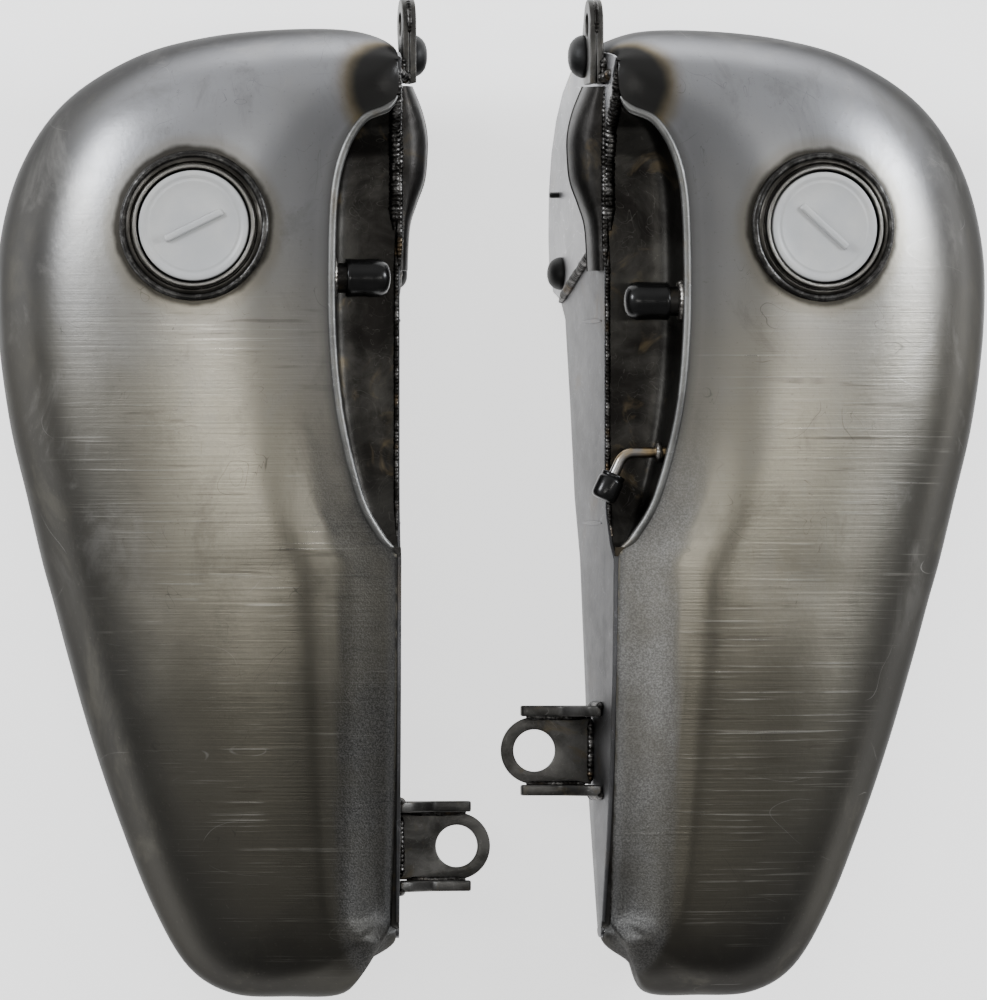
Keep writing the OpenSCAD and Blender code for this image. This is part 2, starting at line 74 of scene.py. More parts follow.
# Ribs of the outer shell: rim s, y; widest s, y, z; seam s, y, z.
RIBS = [
    (2, 272, 2, 278, 118, -14, 178, 0), (2, 263, 18, 290, 118, 8, 190, 0),
    (3, 252, 58, 292, 118, 45, 202, 0), (9.5, 243, 110, 287, 117, 85, 204, 0),
    (24, 236, 155, 274, 116, 118, 196, 0), (35, 219, 196, 247, 115, 146, 178, 0),
    (41.5, 194, 222, 208, 115, 165, 150, 0), (43.5, 155, 234.5, 160, 115, 173, 120, 0),
    (43, 105, 235, 110, 115, 174, 85, 0), (38, 57, 228, 55, 115, 170, 45, 0),
    (26, 10, 217, 8, 115, 162, 5, 0), (13, -14, 208, -30, 114, 156, -28, 0),
    (2, -28, 201, -55, 114, 150, -52, 0), (2, -62, 191, -92, 113, 142, -88, 0),
    (2, -112, 177, -140, 112, 131, -132, 4), (2, -165, 160, -190, 111, 116, -178, 14),
    (2, -208, 141, -238, 110, 100, -220, 28), (2, -232, 120, -274, 110, 84, -249, 44),
    (2, -238, 94, -290, 111, 66, -263, 56), (2, -242, 60, -292, 113, 45, -267, 68),
    (2, -245, 28, -290, 118, 26, -264, 86), (2, -247.5, 17, -272, 130, 14, -257, 112),
    (2, -250, 2, -256, 147, -2, -251, 140),
]
RIM_Z = [
    (-256, 150), (-235, 156), (-200, 167), (-150, 178), (-100, 184), (-60, 187),
    (-28, 189), (10, 195), (60, 199), (200, 199), (235, 198), (252, 196.5), (263, 194), (272, 189),
]
CROWN_Z = [
    (-292, 168), (-240, 176), (-180, 187), (-120, 195), (-60, 200), (0, 203),
    (200, 203), (250, 201), (292, 197),
]
WALL_FOOT = [
    (166, 0), (146, 3), (135, 14), (129, 36), (118, 49), (70, 62), (9, 76),
    (-27, 91), (-105, 106), (-172, 116), (-232, 135), (-250, 141),
]
RECESS_EDGE = [
    (-28, 187), (-18, 176), (0, 165), (20, 161), (215, 161), (232, 166), (244, 178),
    (254, 186),
]
FOOT_Y = [
    (0, 160), (2, 147), (4, 134), (6, 114), (8, 82), (9, 45), (11, -28), (13, -88),
    (15, -178), (16, -208), (17, -226), (18, -234), (19, -239), (20, -243), (21, -246),
    (22, -249),
]
LAST = len(RIBS) - 1
RIB_STEPS = 8
SIDE_STEPS = 20
CROWN_POWER = 2.3
SIDE_POWER = 0.9
CREST_REACH = 90
DIP_START, DIP_SPAN = 0.05, 0.29
FLANGE_FROM = 11.5
SPLIT_TOP = (168, 161)
SPLIT_FOOT = (129, 36)
SPLIT_GAP = 0.4
PAN_RIBS = (2.4, 11.6)
PAN_T = 1.4
BOTTOM_T = 1.3
FOOT_CURVE = 1.6
GUSSET_TOP = 160
GUSSET_T = 2.6
EYE_BACK = [(258.5, 167), (258.5, 137.5)]
DOUBLER_BACK = [(258.5, 167), (258.5, 151.5)]
EYE_BUMPER = (13, 9.6)
WALL_BUMPER = (10, 8.4)
WALL_BUMPER_AT = (146, 38)
STUD_AT = (194, 31)
VENT_R, VENT_BORE, VENT_LEN, VENT_TIP = 9, 6.5, 40, 14
VENT_CAP_R, VENT_CAP_TIP = 11.5, 6.3
OUTLET_R, OUTLET_BORE = 9, 6


# ------------------------------------------------------------------ curves and numbers


def mix(a, b, t):
    return a + (b - a) * t


def ease(t):
    t = max(0.0, min(1.0, t))
    return t * t * (3 - 2 * t)


def lookup(x, table):
    """Straight-line value of a table of pairs."""
    if x <= table[0][0]:
        return table[0][1]
    for (x0, z0), (x1, z1) in zip(table, table[1:]):
        if x <= x1:
            return mix(z0, z1, (x - x0) / (x1 - x0))
    return table[-1][1]


def smooth_lookup(x, table, reach=14.0):
    """The table's value averaged over a short reach, so that the surface has no kinks."""
    steps = [-1.0, -0.6, -0.25, 0.25, 0.6, 1.0]
    return sum(lookup(x + reach * k, table) for k in steps) / len(steps)


def spline(rows, u):
    """Catmull-Rom value of a list of rows at a fractional index."""
    i = min(int(u), len(rows) - 2)
    t = u - i
    a, b, c, d = (rows[max(0, min(len(rows) - 1, i + k))] for k in (-1, 0, 1, 2))
    return [
        0.5 * (2 * q + (r - p) * t + (2 * p - 5 * q + 4 * r - w) * t * t
               + (3 * q - p - 3 * r + w) * t ** 3)
        for p, q, r, w in zip(a, b, c, d)
    ]


def wall_s(z):
    return -math.tan(LEAN) * (EDGE_H - z)


def wall_place(p):
    """Point of the leaning wall: p is (y, along the wall from its top edge, off its face)."""
    return Vector((
        p[2] * math.cos(LEAN) + p[1] * math.sin(LEAN),
        p[0],
        EDGE_H - p[2] * math.sin(LEAN) + p[1] * math.cos(LEAN),
    ))


def wall_point(y, z):
    return (y, (max(0.3, z) - EDGE_H) / math.cos(LEAN))


def neck_matrix():
    return (Matrix.Translation(NECK) @ Matrix.Rotation(NECK_TILT[1], 4, "Y")
            @ Matrix.Rotation(NECK_TILT[0], 4, "X"))


def arc(cx, cy, r, start, end, steps):
    return [
        (cx + r * math.cos(math.radians(mix(start, end, i / steps))),
         cy + r * math.sin(math.radians(mix(start, end, i / steps))))
        for i in range(steps + 1)
    ]


def hull(points):
    """Convex outline round a set of 2D points."""
    pts = sorted(set(points))

    def half(seq):
        out = []
        for p in seq:
            while len(out) > 1 and (
                (out[-1][0] - out[-2][0]) * (p[1] - out[-2][1])
                - (out[-1][1] - out[-2][1]) * (p[0] - out[-2][0])
            ) <= 0:
                out.pop()
            out.append(p)
        return out[:-1]

    return half(pts) + half(pts[::-1])


def rounded(points, radius, steps=5):
    """Outline with its corners rounded."""
    out = []
    n = len(points)
    for i in range(n):
        p = Vector(points[i])
        a = Vector(points[i - 1]) - p
        b = Vector(points[(i + 1) % n]) - p
        r = min(radius, a.length * 0.45, b.length * 0.45)
        start, end = p + a.normalized() * r, p + b.normalized() * r
        for k in range(steps + 1):
            t = k / steps
            out.append(tuple((1 - t) ** 2 * start + 2 * t * (1 - t) * p + t * t * end))
    return out


# ------------------------------------------------------------------ mesh building


class Shape:
    """Faces of one piece, in a half's own coordinates, with a finish number for each."""

    def __init__(self):
        self.points = []
        self.faces = []
        self.finish = []
        self.values = {}

    def add(self, points, faces, finish=0):
        base = len(self.points)
        self.points += [Vector(p) for p in points]
        self.faces += [tuple(base + i for i in f) for f in faces]
        self.finish += [finish] * len(faces)
        return base

    def grid(self, rows, finish=0, wrap=False, ends=False):
        """Quads between rows of points. wrap joins each row's ends and ends closes it."""
        m = len(rows[0])
        span = m if wrap else m - 1
        faces = [
            (i * m + j, i * m + (j + 1) % m, (i + 1) * m + (j + 1) % m, (i + 1) * m + j)
            for i in range(len(rows) - 1) for j in range(span)
        ]
        if ends:
            faces.append(tuple(range(m))[::-1])
            faces.append(tuple((len(rows) - 1) * m + j for j in range(m)))
        return self.add([p for r in rows for p in r], faces, finish)

    def sheet(self, rows, thickness, finish=0):
        """Closed sheet: a grid, the same grid moved back along its normals, and its edges."""
        n, m = len(rows), len(rows[0])
        under = []
        for i in range(n):
            for j in range(m):
                du = rows[min(n - 1, i + 1)][j] - rows[max(0, i - 1)][j]
                dv = rows[i][min(m - 1, j + 1)] - rows[i][max(0, j - 1)]
                under.append(rows[i][j] - du.cross(dv).normalized() * thickness)
        k = n * m
        faces = []
        for i in range(n - 1):
            for j in range(m - 1):
                a, b = i * m + j, (i + 1) * m + j
                faces.append((a, b, b + 1, a + 1))
                faces.append((k + a, k + a + 1, k + b + 1, k + b))
        for j in range(m - 1):
            a = (n - 1) * m + j
            faces.append((j, j + 1, k + j + 1, k + j))
            faces.append((a, k + a, k + a + 1, a + 1))
        for i in range(n - 1):
            a, b = i * m, i * m + m
            c, d = a + m - 1, b + m - 1
            faces.append((a, k + a, k + b, b))
            faces.append((c, d, k + d, k + c))
        return self.add([p for r in rows for p in r] + under, faces, finish)

    def lathe(self, profile, place=None, finish=0, steps=96, closed=True):
        """Profile of (radius, height) turned about the third axis of place."""
        place = place or Matrix.Identity(4)
        rows = []
        for i in range(steps):
            a = 2 * math.pi * i / steps
            rows.append([
                place @ Vector((max(r, 0.02) * math.cos(a), max(r, 0.02) * math.sin(a), h))
                for r, h in profile
            ])
        m = len(profile)
        span = m if closed else m - 1
        faces = [
            (i * m + j, ((i + 1) % steps) * m + j,
             ((i + 1) % steps) * m + (j + 1) % m, i * m + (j + 1) % m)
            for i in range(steps) for j in range(span)
        ]
        return self.add([p for r in rows for p in r], faces, finish)

    def tube(self, path, radius, finish=0, sides=14, loop=False):
        """Round tube along a path. radius is a number or a function of the share of the way."""
        size = radius if callable(radius) else (lambda t: radius)
        n = len(path)
        rows = []
        up = Vector((0.13, 0.21, 1.0))
        for i, p in enumerate(path):
            before = path[i - 1] if (i or loop) else p
            after = path[(i + 1) % n] if (i < n - 1 or loop) else p
            along = (after - before).normalized()
            side = up.cross(along).normalized()
            up = along.cross(side)
            r = size(i / (n - 1))
            rows.append([
                p + (side * math.cos(a) + up * math.sin(a)) * r
                for a in (2 * math.pi * k / sides for k in range(sides))
            ])
        if loop:
            rows.append(list(rows[0]))
            self.grid(rows, finish, wrap=True)
        else:
            self.grid(rows, finish, wrap=True, ends=True)

    def weld(self, path, width, pitch=2.6, finish=1, loop=False, seed=1, ripple=0.18):
        """Bead of weld along a path: overlapping ripples of slightly uneven width."""
        length = sum((b - a).length for a, b in zip(path, path[1:]))
        count = max(8, int(length / 0.55))
        points = resample(path, count)
        rnd = random.Random(seed)
        shift = [rnd.uniform(-0.5, 0.5) for _ in range(int(length / pitch) + 3)]

        def size(t):
            turns = t * length / pitch
            k = int(turns)
            wave = 1 - ripple + ripple * math.sin(math.pi * (turns - k)) ** 0.6
            end = 1 if loop else min(1.0, 0.35 + 6 * min(t, 1 - t))
            return width / 2 * wave * (1 + 0.8 * ripple * shift[k]) * end

        wobble = width * 0.05
        points = [
            p + noise.noise_vector(p * 0.11 + Vector((seed, 0, 0))) * wobble for p in points
        ]
        if loop:
            points = points[:-1]
        self.tube(points, size, finish, sides=10, loop=loop)

    def plate(self, outline, thick, place, holes=(), bevel=0.5, finish=0):
        """Flat plate with rounded edges from an outline, put in position by place."""
        curve = bpy.data.curves.new("outline", "CURVE")
        curve.dimensions = "2D"
        curve.fill_mode = "BOTH"
        for loop in (outline, *holes):
            s = curve.splines.new("POLY")
            s.points.add(len(loop) - 1)
            for point, q in zip(s.points, loop):
                point.co = (q[0], q[1], 0, 1)
            s.use_cyclic_u = True
        curve.extrude = thick / 2 - bevel
        curve.bevel_depth = bevel
        curve.bevel_resolution = 2
        curve.offset = -bevel
        maker = bpy.data.objects.new("outline", curve)
        bpy.context.scene.collection.objects.link(maker)
        graph = bpy.context.evaluated_depsgraph_get()
        mesh = bpy.data.meshes.new_from_object(maker.evaluated_get(graph))
        points = [place(v.co + Vector((0, 0, thick / 2))) for v in mesh.vertices]
        self.add(points, [tuple(p.vertices) for p in mesh.polygons], finish)
        bpy.data.objects.remove(maker)
        bpy.data.meshes.remove(mesh)


def resample(path, count):
    """Points at equal distances along a path."""
    total = [0.0]
    for a, b in zip(path, path[1:]):
        total.append(total[-1] + (b - a).length)
    out = []
    k = 0
    for i in range(count + 1):
        want = total[-1] * i / count
        while k < len(path) - 2 and total[k + 1] < want:
            k += 1
        span = total[k + 1] - total[k]
        out.append(path[k].lerp(path[k + 1], (want - total[k]) / span if span else 0))
    return out


def fillet(profile, radius, steps=3):
    """Closed lathe profile with its corners rounded."""
    return rounded(profile, radius, steps)


def to_frame(points, side):
    """A half's own points in metres of the shared frame. The left half is a mirror image."""
    sign = -1 if side == "left" else 1
    return [(sign * (WALL_X + p.x) * MM, (p.y - MID_Y) * MM, p.z * MM) for p in points]


def build(name, side, shape, finishes, body="half", sharp=38, cut=None):
    """Makes the object that stands for CAD node side_name and rides on body side_body."""
    node = f"{side}_{name}"
    mesh = bpy.data.meshes.new(f"{node}_form")
    points = to_frame(shape.points, side)
    faces = [f[::-1] for f in shape.faces] if side == "left" else shape.faces
    mesh.from_pydata(points, [], faces)
    for m in finishes:
        mesh.materials.append(m)
    mesh.polygons.foreach_set("material_index", shape.finish)
    for key, values in shape.values.items():
        data = mesh.attributes.new(key, "FLOAT", "POINT").data
        values = values + [0.0] * (len(points) - len(values))
        data.foreach_set("value", values)
    obj = bpy.data.objects.new(f"{node}_form", mesh)
    bpy.context.scene.collection.objects.link(obj)
    if cut is not None:
        apply_cut(obj, cut, side)
        mesh = obj.data
    keep_in_box(mesh)
    mesh.validate()
    fix_normals(mesh)
    mesh.polygons.foreach_set("use_smooth", [True] * len(mesh.polygons))
    mesh.set_sharp_from_angle(angle=math.radians(sharp))
    lay_flat(mesh)
    mesh.update()
    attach(obj, f"{side}_{body}")
    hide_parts(node)


def lay_flat(mesh):
    """UV map seen from above with u along the length, for the direction of the scratches."""
    layer = mesh.uv_layers.new(name="along")
    for loop in mesh.loops:
        co = mesh.vertices[loop.vertex_index].co
        layer.data[loop.index].uv = (co.y, co.x)


def fix_normals(mesh):
    """Joins doubled points and turns every face outward."""
    bm = bmesh.new()
    bm.from_mesh(mesh)
    bmesh.ops.remove_doubles(bm, verts=bm.verts, dist=1e-6)
    bmesh.ops.recalc_face_normals(bm, faces=bm.faces)
    bm.to_mesh(mesh)
    bm.free()


def apply_cut(obj, cutter, side):
    """Takes a closed shape out of an object."""
    tool = bpy.data.meshes.new("cutter")
    tool.from_pydata(to_frame(cutter.points, side), [], cutter.faces)
    fix_normals(tool)
    fix_normals(obj.data)
    blade = bpy.data.objects.new("cutter", tool)
    bpy.context.scene.collection.objects.link(blade)
    change = obj.modifiers.new("cut", "BOOLEAN")
    change.operation = "DIFFERENCE"
    change.solver = "EXACT"
    change.object = blade
    graph = bpy.context.evaluated_depsgraph_get()
    mesh = bpy.data.meshes.new_from_object(obj.evaluated_get(graph))
    obj.modifiers.clear()
    obj.data = mesh
    bpy.data.objects.remove(blade)
    bpy.data.meshes.remove(tool)


def keep_in_box(mesh):
    """Holds every vertex inside the frame's overall box."""
    for v in mesh.vertices:
        for k in range(3):
            v.co[k] = max(BOX[0][k], min(BOX[1][k], v.co[k]))


# ------------------------------------------------------------------ materials


class Material:
    """A procedural material, built up from the object's own coordinates."""

    def __init__(self, name):
        self.data = bpy.data.materials.new(name)
        self.data.use_nodes = True
        self.tree = self.data.node_tree
        self.tree.nodes.clear()
        out = self.node("ShaderNodeOutputMaterial")
        self.bsdf = self.node("ShaderNodeBsdfPrincipled")
        self.tree.links.new(self.bsdf.outputs[0], out.inputs[0])
        self.coord = self.node("ShaderNodeTexCoord").outputs["Object"]

    def node(self, kind, **settings):
        n = self.tree.nodes.new(kind)
        for key, value in settings.items():
            setattr(n, key, value)
        return n

    def put(self, socket, value):
        if isinstance(value, bpy.types.NodeSocket):
            self.tree.links.new(value, socket)
        else:
            socket.default_value = value

    def math(self, operation, a, b=0.0):
        n = self.node("ShaderNodeMath", operation=operation)
        self.put(n.inputs[0], a)
        self.put(n.inputs[1], b)
        return n.outputs[0]

    def times(self, a, b):
        return self.math("MULTIPLY", a, b)

    def plus(self, a, b):
        return self.math("ADD", a, b)

    def tint(self, color, share, strength, tone):
        """The colour, drawn towards tone by share times strength."""
        return self.mix(self.times(share, strength), color, tone)

    def axes(self):
        """Distance from the centre plane, and the other two coordinates."""
        n = self.node("ShaderNodeSeparateXYZ")
        self.put(n.inputs[0], self.coord)
        return self.math("ABSOLUTE", n.outputs[0]), n.outputs[1], n.outputs[2]

    def noise(self, scale, detail=4.0, rough=0.5, twist=0.0, stretch=(1, 1, 1), turn=0.0):
        place = self.node("ShaderNodeMapping")
        self.put(place.inputs["Vector"], self.coord)
        place.inputs["Scale"].default_value = stretch
        place.inputs["Rotation"].default_value = (0, 0, math.radians(turn))
        n = self.node("ShaderNodeTexNoise")
        self.put(n.inputs["Vector"], place.outputs[0])
        n.inputs["Scale"].default_value = scale
        n.inputs["Detail"].default_value = detail
        n.inputs["Roughness"].default_value = rough
        n.inputs["Distortion"].default_value = twist
        return n.outputs[0]

    def band(self, value, low, high):
        """Smooth step from 0 at low to 1 at high."""
        n = self.node("ShaderNodeMapRange", interpolation_type="SMOOTHSTEP")
        self.put(n.inputs["Value"], value)
        n.inputs["From Min"].default_value = low
        n.inputs["From Max"].default_value = high
        return n.outputs[0]

    def line(self, value, centre, width):
        """1 where the value crosses centre, fading out over width."""
        return self.band(self.math("ABSOLUTE", self.math("SUBTRACT", value, centre)), width, 0)

    def mix(self, share, a, b):
        n = self.node("ShaderNodeMix", data_type="RGBA")
        self.put(n.inputs[0], share)
        self.put(n.inputs[6], a if isinstance(a, bpy.types.NodeSocket) else (*a, 1))
        self.put(n.inputs[7], b if isinstance(b, bpy.types.NodeSocket) else (*b, 1))
        return n.outputs[2]

    def bump(self, height, distance, strength=1.0, normal=None):
        n = self.node("ShaderNodeBump")
        self.put(n.inputs["Height"], height)
        n.inputs["Distance"].default_value = distance
        n.inputs["Strength"].default_value = strength
        if normal is not None:
            self.put(n.inputs["Normal"], normal)
        return n.outputs[0]

    def attribute(self, name):
        return self.node("ShaderNodeAttribute", attribute_name=name).outputs["Fac"]

    def near(self, point):
        """Distance from a point given with its x as a distance from the centre plane."""
        x, y, z = self.axes()
        join = self.node("ShaderNodeCombineXYZ")
        for socket, value in zip(join.inputs, (x, y, z)):
            self.put(socket, value)
        n = self.node("ShaderNodeVectorMath", operation="DISTANCE")
        self.put(n.inputs[0], join.outputs[0])
        n.inputs[1].default_value = point
        return n.outputs["Value"]

    def finish(self, color, rough, metal=0.0, normal=None, **others):
        self.put(self.bsdf.inputs["Base Color"], color if isinstance(
            color, bpy.types.NodeSocket) else (*color, 1))
        self.put(self.bsdf.inputs["Roughness"], rough)
        self.put(self.bsdf.inputs["Metallic"], metal)
        if normal is not None:
            self.put(self.bsdf.inputs["Normal"], normal)
        for key, value in others.items():
            self.put(self.bsdf.inputs[key.replace("_", " ")], value)
        return self.data


def steel_tones_and_painted_shade(m, x, y, z):
    """Broad tones of the bare steel along its length, with painted shade towards the rear and down
    the outer and lower sides, pale smears that are part painted reflection, and dark smears.
    """
    drift = m.times(m.math("SUBTRACT", m.noise(9, 4, 0.6), 0.5), 0.16)
    along = m.plus(y, drift)
    color = m.mix(m.band(along, 0.02, 0.22), (0.42, 0.39, 0.315), (0.37, 0.375, 0.395))
    # Painted shade: the steel darkens towards the rear end.
    color = m.mix(m.band(along, 0.01, -0.14), color, (0.14, 0.13, 0.105))
    color = m.mix(m.band(along, -0.23, -0.31), color, (0.05, 0.045, 0.04))
    # Painted shade: darker towards the outer side, and on the flank behind the front.
    color = m.tint(color, m.band(x, 0.2, 0.285), 0.6, (0.16, 0.155, 0.145))
    flank_painted_shade = m.times(m.band(x, 0.19, 0.25), m.band(y, 0.13, 0.0))
    color = m.tint(color, flank_painted_shade, 0.7, (0.085, 0.083, 0.078))
    # Painted shade: nearly black low on the sides.
    color = m.tint(color, m.band(z, 0.188, 0.15), 0.88, (0.035, 0.034, 0.032))
    # Pale cloudy patches on the upper front: part polished steel tone, part painted reflection.
    smear = m.noise(22, 6, 0.7, 0.5, (1, 0.6, 1), 35)
    upper = m.times(m.band(z, 0.12, 0.18), m.band(y, -0.12, 0.02))
    cloudy_polish_and_reflection = m.times(m.band(smear, 0.51, 0.68), m.times(upper, 0.24))
    color = m.mix(cloudy_polish_and_reflection, color, (0.42, 0.41, 0.39))
    return m.tint(color, m.band(smear, 0.48, 0.3), 0.3, (0.1, 0.095, 0.08))


def scratches(m):
    """Shares of dark curled scratches and of fine bright ones."""
    curl = m.line(m.noise(11, 2, 0.4, 1.4, (1, 1.3, 1), 20), 0.5, 0.0022)
    nick = m.line(m.noise(23, 2, 0.5, 2.2, (1.6, 0.7, 1), -30), 0.46, 0.003)
    marks = m.times(m.math("MAXIMUM", curl, nick), m.band(m.noise(31, 2), 0.5, 0.62))
    hair = m.line(m.noise(13, 1, 0.3, 0.25, (0.5, 1.5, 1), 75), 0.53, 0.0012)
    return marks, m.times(hair, m.band(m.noise(27, 2), 0.5, 0.6))


def sandy_strip(m, color, y, blast, grain):
    """Grainy surface of the pressed strip: darker on the left half by painted shade and paler on
    the right by painted light.
    """
    speckle = m.band(grain, 0.35, 0.7)
    # Lit and shaded copies of the grain: painted shade on the left half, painted light on the
    # right.
    strip_painted_shade = m.mix(speckle, (0.042, 0.042, 0.042), (0.115, 0.113, 0.11))
    light = m.mix(speckle, (0.22, 0.218, 0.212), (0.43, 0.426, 0.415))
    strip_painted_light = m.times(m.attribute("strip_painted_light"), m.band(y, -0.30, -0.10))
    uneven = m.band(m.noise(24, 4, 0.6, 0.4), 0.3, 0.7)
    share = m.times(blast, m.plus(0.45, m.times(uneven, 0.4)))
    return m.mix(share, color, m.mix(strip_painted_light, strip_painted_shade, light))


def raw_steel():
    """Bare drawn steel: bright in front, bronze in the middle, dark at the rear by painted shade,
    scratched.
    """
    m = Material("raw_steel")
    x, y, z = m.axes()
    color = steel_tones_and_painted_shade(m, x, y, z)
    drawn = m.times(m.band(z, 0.150, 0.185), m.band(y, 0.155, 0.08))
    fine = m.noise(1, 6, 0.62, 0.0, (9, 620, 9))
    coarse = m.noise(1, 3, 0.5, 0.0, (14, 210, 14))
    brushed = m.times(drawn, m.band(m.noise(16, 3, 0.6, 0.4), 0.42, 0.62))
    light = m.times(m.band(fine, 0.57, 0.68), brushed)
    dark = m.times(m.band(coarse, 0.40, 0.30), brushed)
    color = m.tint(color, light, 0.55, (0.66, 0.64, 0.58))
    color = m.tint(color, dark, 0.55, (0.09, 0.08, 0.065))
    marks, hair = scratches(m)
    color = m.tint(color, marks, 0.5, (0.05, 0.047, 0.043))
    color = m.tint(color, hair, 0.3, (0.5, 0.49, 0.47))
    # Painted shade beside the dash recess, read from the inner attribute.
    color = m.tint(color, m.attribute("inner"), 0.5, (0.13, 0.13, 0.134))
    # Painted shade in the valley beside the left half's grainy strip.
    color = m.tint(color, m.attribute("shade"), 0.6, (0.05, 0.048, 0.042))
    # The rolled lip's darker colour is painted shade; its added roughness is real dullness.
    lip = m.attribute("lip")
    color = m.tint(color, lip, 0.75, (0.10, 0.10, 0.10))
    color = m.tint(color, m.band(m.noise(520, 2, 0.5), 0.66, 0.74), 0.25, (0.12, 0.11, 0.1))
    blast = m.attribute("blast")
    grain = m.noise(900, 2, 0.7)
    color = heat_tint(m, sandy_strip(m, color, y, blast, grain))
    rough = m.plus(0.26, m.times(m.noise(26, 5, 0.7), 0.18))
    rough = m.plus(rough, m.times(blast, 0.16))
    rough = m.plus(rough, m.times(lip, 0.12))
    rough = m.math("SUBTRACT", rough, m.times(light, 0.08))
    hairs = m.times(fine, m.plus(0.15, m.times(drawn, 0.85)))
    normal = m.bump(hairs, 0.00035, 0.55)
    normal = m.bump(m.times(grain, blast), 0.0004, 0.6, normal)
    normal = m.bump(m.noise(300, 3, 0.6), 0.00012, 0.5, normal)
    normal = m.bump(marks, 0.0002, -0.5, normal)
    tangent = m.node("ShaderNodeTangent", direction_type="UV_MAP", uv_map="along").outputs[0]
    return m.finish(color, rough, 1.0, normal, Anisotropic=0.6,
                    Specular_Tint=(0.45, 0.45, 0.45, 1), Tangent=tangent)


def heat_tint(m, color):
    """Blackened and bronze colour round the neck's weld and at the inner front corner."""
    wander = m.times(m.math("SUBTRACT", m.noise(60, 3), 0.5), 0.005)
    far = m.plus(m.near(((WALL_X + NECK.x) * MM, (NECK.y - MID_Y) * MM, 0.196)), wander)
    color = m.tint(color, m.band(far, 0.058, 0.050), 0.35, (0.22, 0.19, 0.12))
    color = m.tint(color, m.band(far, 0.0500, 0.0462), 0.88, (0.03, 0.027, 0.022))
    corner = m.plus(m.near(((WALL_X + 1) * MM, 0.248, 0.195)), wander)
    color = m.tint(color, m.band(corner, 0.044, 0.030), 0.8, (0.17, 0.13, 0.06))
    return m.tint(color, m.band(corner, 0.036, 0.026), 0.95, (0.03, 0.031, 0.033))


def plain_steel(name, low, high, bronze, rough=0.34, patches=18.0):
    """Oily or heat-darkened steel, patchy between two tones with some bronze."""
    m = Material(name)
    color = m.mix(m.band(m.noise(patches, 6, 0.65, 0.5), 0.35, 0.65), low, high)
    tint = m.band(m.noise(patches * 1.7, 4, 0.6, 0.8), 0.56, 0.7)
    color = m.tint(color, tint, 0.6, bronze)
    scuff = m.line(m.noise(patches * 2.2, 2, 0.5, 1.8), 0.5, 0.006)
    color = m.tint(color, scuff, 0.3, tuple(min(1, 2.4 * c) for c in high))
    shine = m.plus(rough, m.times(m.noise(70, 4, 0.7), 0.18))
    normal = m.bump(m.noise(420, 4, 0.65), 0.0002, 0.6)
    normal = m.bump(m.noise(45, 3, 0.5), 0.0006, 0.3, normal)
    return m.finish(color, shine, 1.0, normal)


def weld_steel(name="weld_steel", low=(0.014, 0.013, 0.012), high=(0.16, 0.155, 0.15),
               bronze=0.25):
    m = Material(name)
    color = m.mix(m.band(m.noise(130, 4, 0.7), 0.44, 0.7), low, high)
    color = m.tint(color, m.band(m.noise(60, 3), 0.58, 0.7), bronze, (0.22, 0.15, 0.08))
    normal = m.bump(m.noise(500, 3, 0.7), 0.0003, 0.7)
    return m.finish(color, 0.33, 1.0, normal)


def neck_steel():
    """Turned ring, with fine lathe lines and heat-darkened rims."""
    m = Material("neck_steel")
    far = m.near(((WALL_X + NECK.x) * MM, (NECK.y - MID_Y) * MM, NECK.z * MM))
    cloud = m.band(m.noise(55, 5, 0.6), 0.35, 0.7)
    color = m.mix(cloud, (0.03, 0.028, 0.025), (0.085, 0.08, 0.072))
    bright = m.line(far, 0.0356, 0.0016)
    color = m.tint(color, bright, 0.6, (0.34, 0.33, 0.31))
    turned = m.node("ShaderNodeTexNoise", noise_dimensions="1D")
    m.put(turned.inputs["W"], m.times(far, 2600.0))
    normal = m.bump(turned.outputs[0], 0.0001, 0.5)
    return m.finish(color, 0.3, 1.0, normal)


def cap_plastic():
    """Translucent white moulded plastic with a faint satin grain and scuffs."""
    m = Material("cap_plastic")
    cloud = m.band(m.noise(35, 4, 0.6), 0.3, 0.75)
    color = m.mix(cloud, (0.50, 0.51, 0.52), (0.58, 0.58, 0.57))
    scuff = m.line(m.noise(60, 2, 0.5, 1.5), 0.5, 0.004)
    color = m.tint(color, scuff, 0.2, (0.5, 0.5, 0.49))
    rough = m.plus(0.32, m.times(m.noise(90, 3), 0.14))
    normal = m.bump(m.noise(800, 2), 0.00008, 0.5)
    return m.finish(color, rough, 0.0, normal, Subsurface_Weight=0.25,
                    Subsurface_Radius=(0.006, 0.006, 0.006), Subsurface_Scale=0.5)


def soft_plastic(name, color, light, rough, grain=260.0, depth=0.0001):
    """Vinyl, rubber or moulded plastic in one colour, with dust and a slight grain."""
    m = Material(name)
    dust = m.band(m.noise(80, 5, 0.7), 0.5, 0.8)
    shade = m.tint(color, dust, 0.5, light)
    gloss = m.plus(rough, m.times(m.noise(120, 4, 0.7), 0.16))
    normal = m.bump(m.noise(grain, 3, 0.6), depth, 0.6)
    return m.finish(shade, gloss, 0.0, normal, Specular_IOR_Level=0.32)


def bronze_tube():
    """Thin steel tube, blued and bronzed where it was heated."""
    m = Material("bronze_tube")
    color = m.mix(m.band(m.noise(90, 3), 0.35, 0.65), (0.42, 0.31, 0.17), (0.30, 0.29, 0.28))
    color = m.mix(m.band(m.noise(70, 2, 0.5, 0.6), 0.55, 0.7), color, (0.08, 0.07, 0.06))
    normal = m.bump(m.noise(600, 3), 0.0001, 0.5)
    return m.finish(color, 0.3, 1.0, normal)


def floor_paper():
    m = Material("floor_paper")
    color = m.mix(m.noise(3, 2), (0.93, 0.93, 0.93), (0.95, 0.95, 0.95))
    return m.finish(color, 0.9, 0.0, m.bump(m.noise(400, 2), 0.0001, 0.2),
                    Emission_Color=color, Emission_Strength=1.5)


# ------------------------------------------------------------------ shell


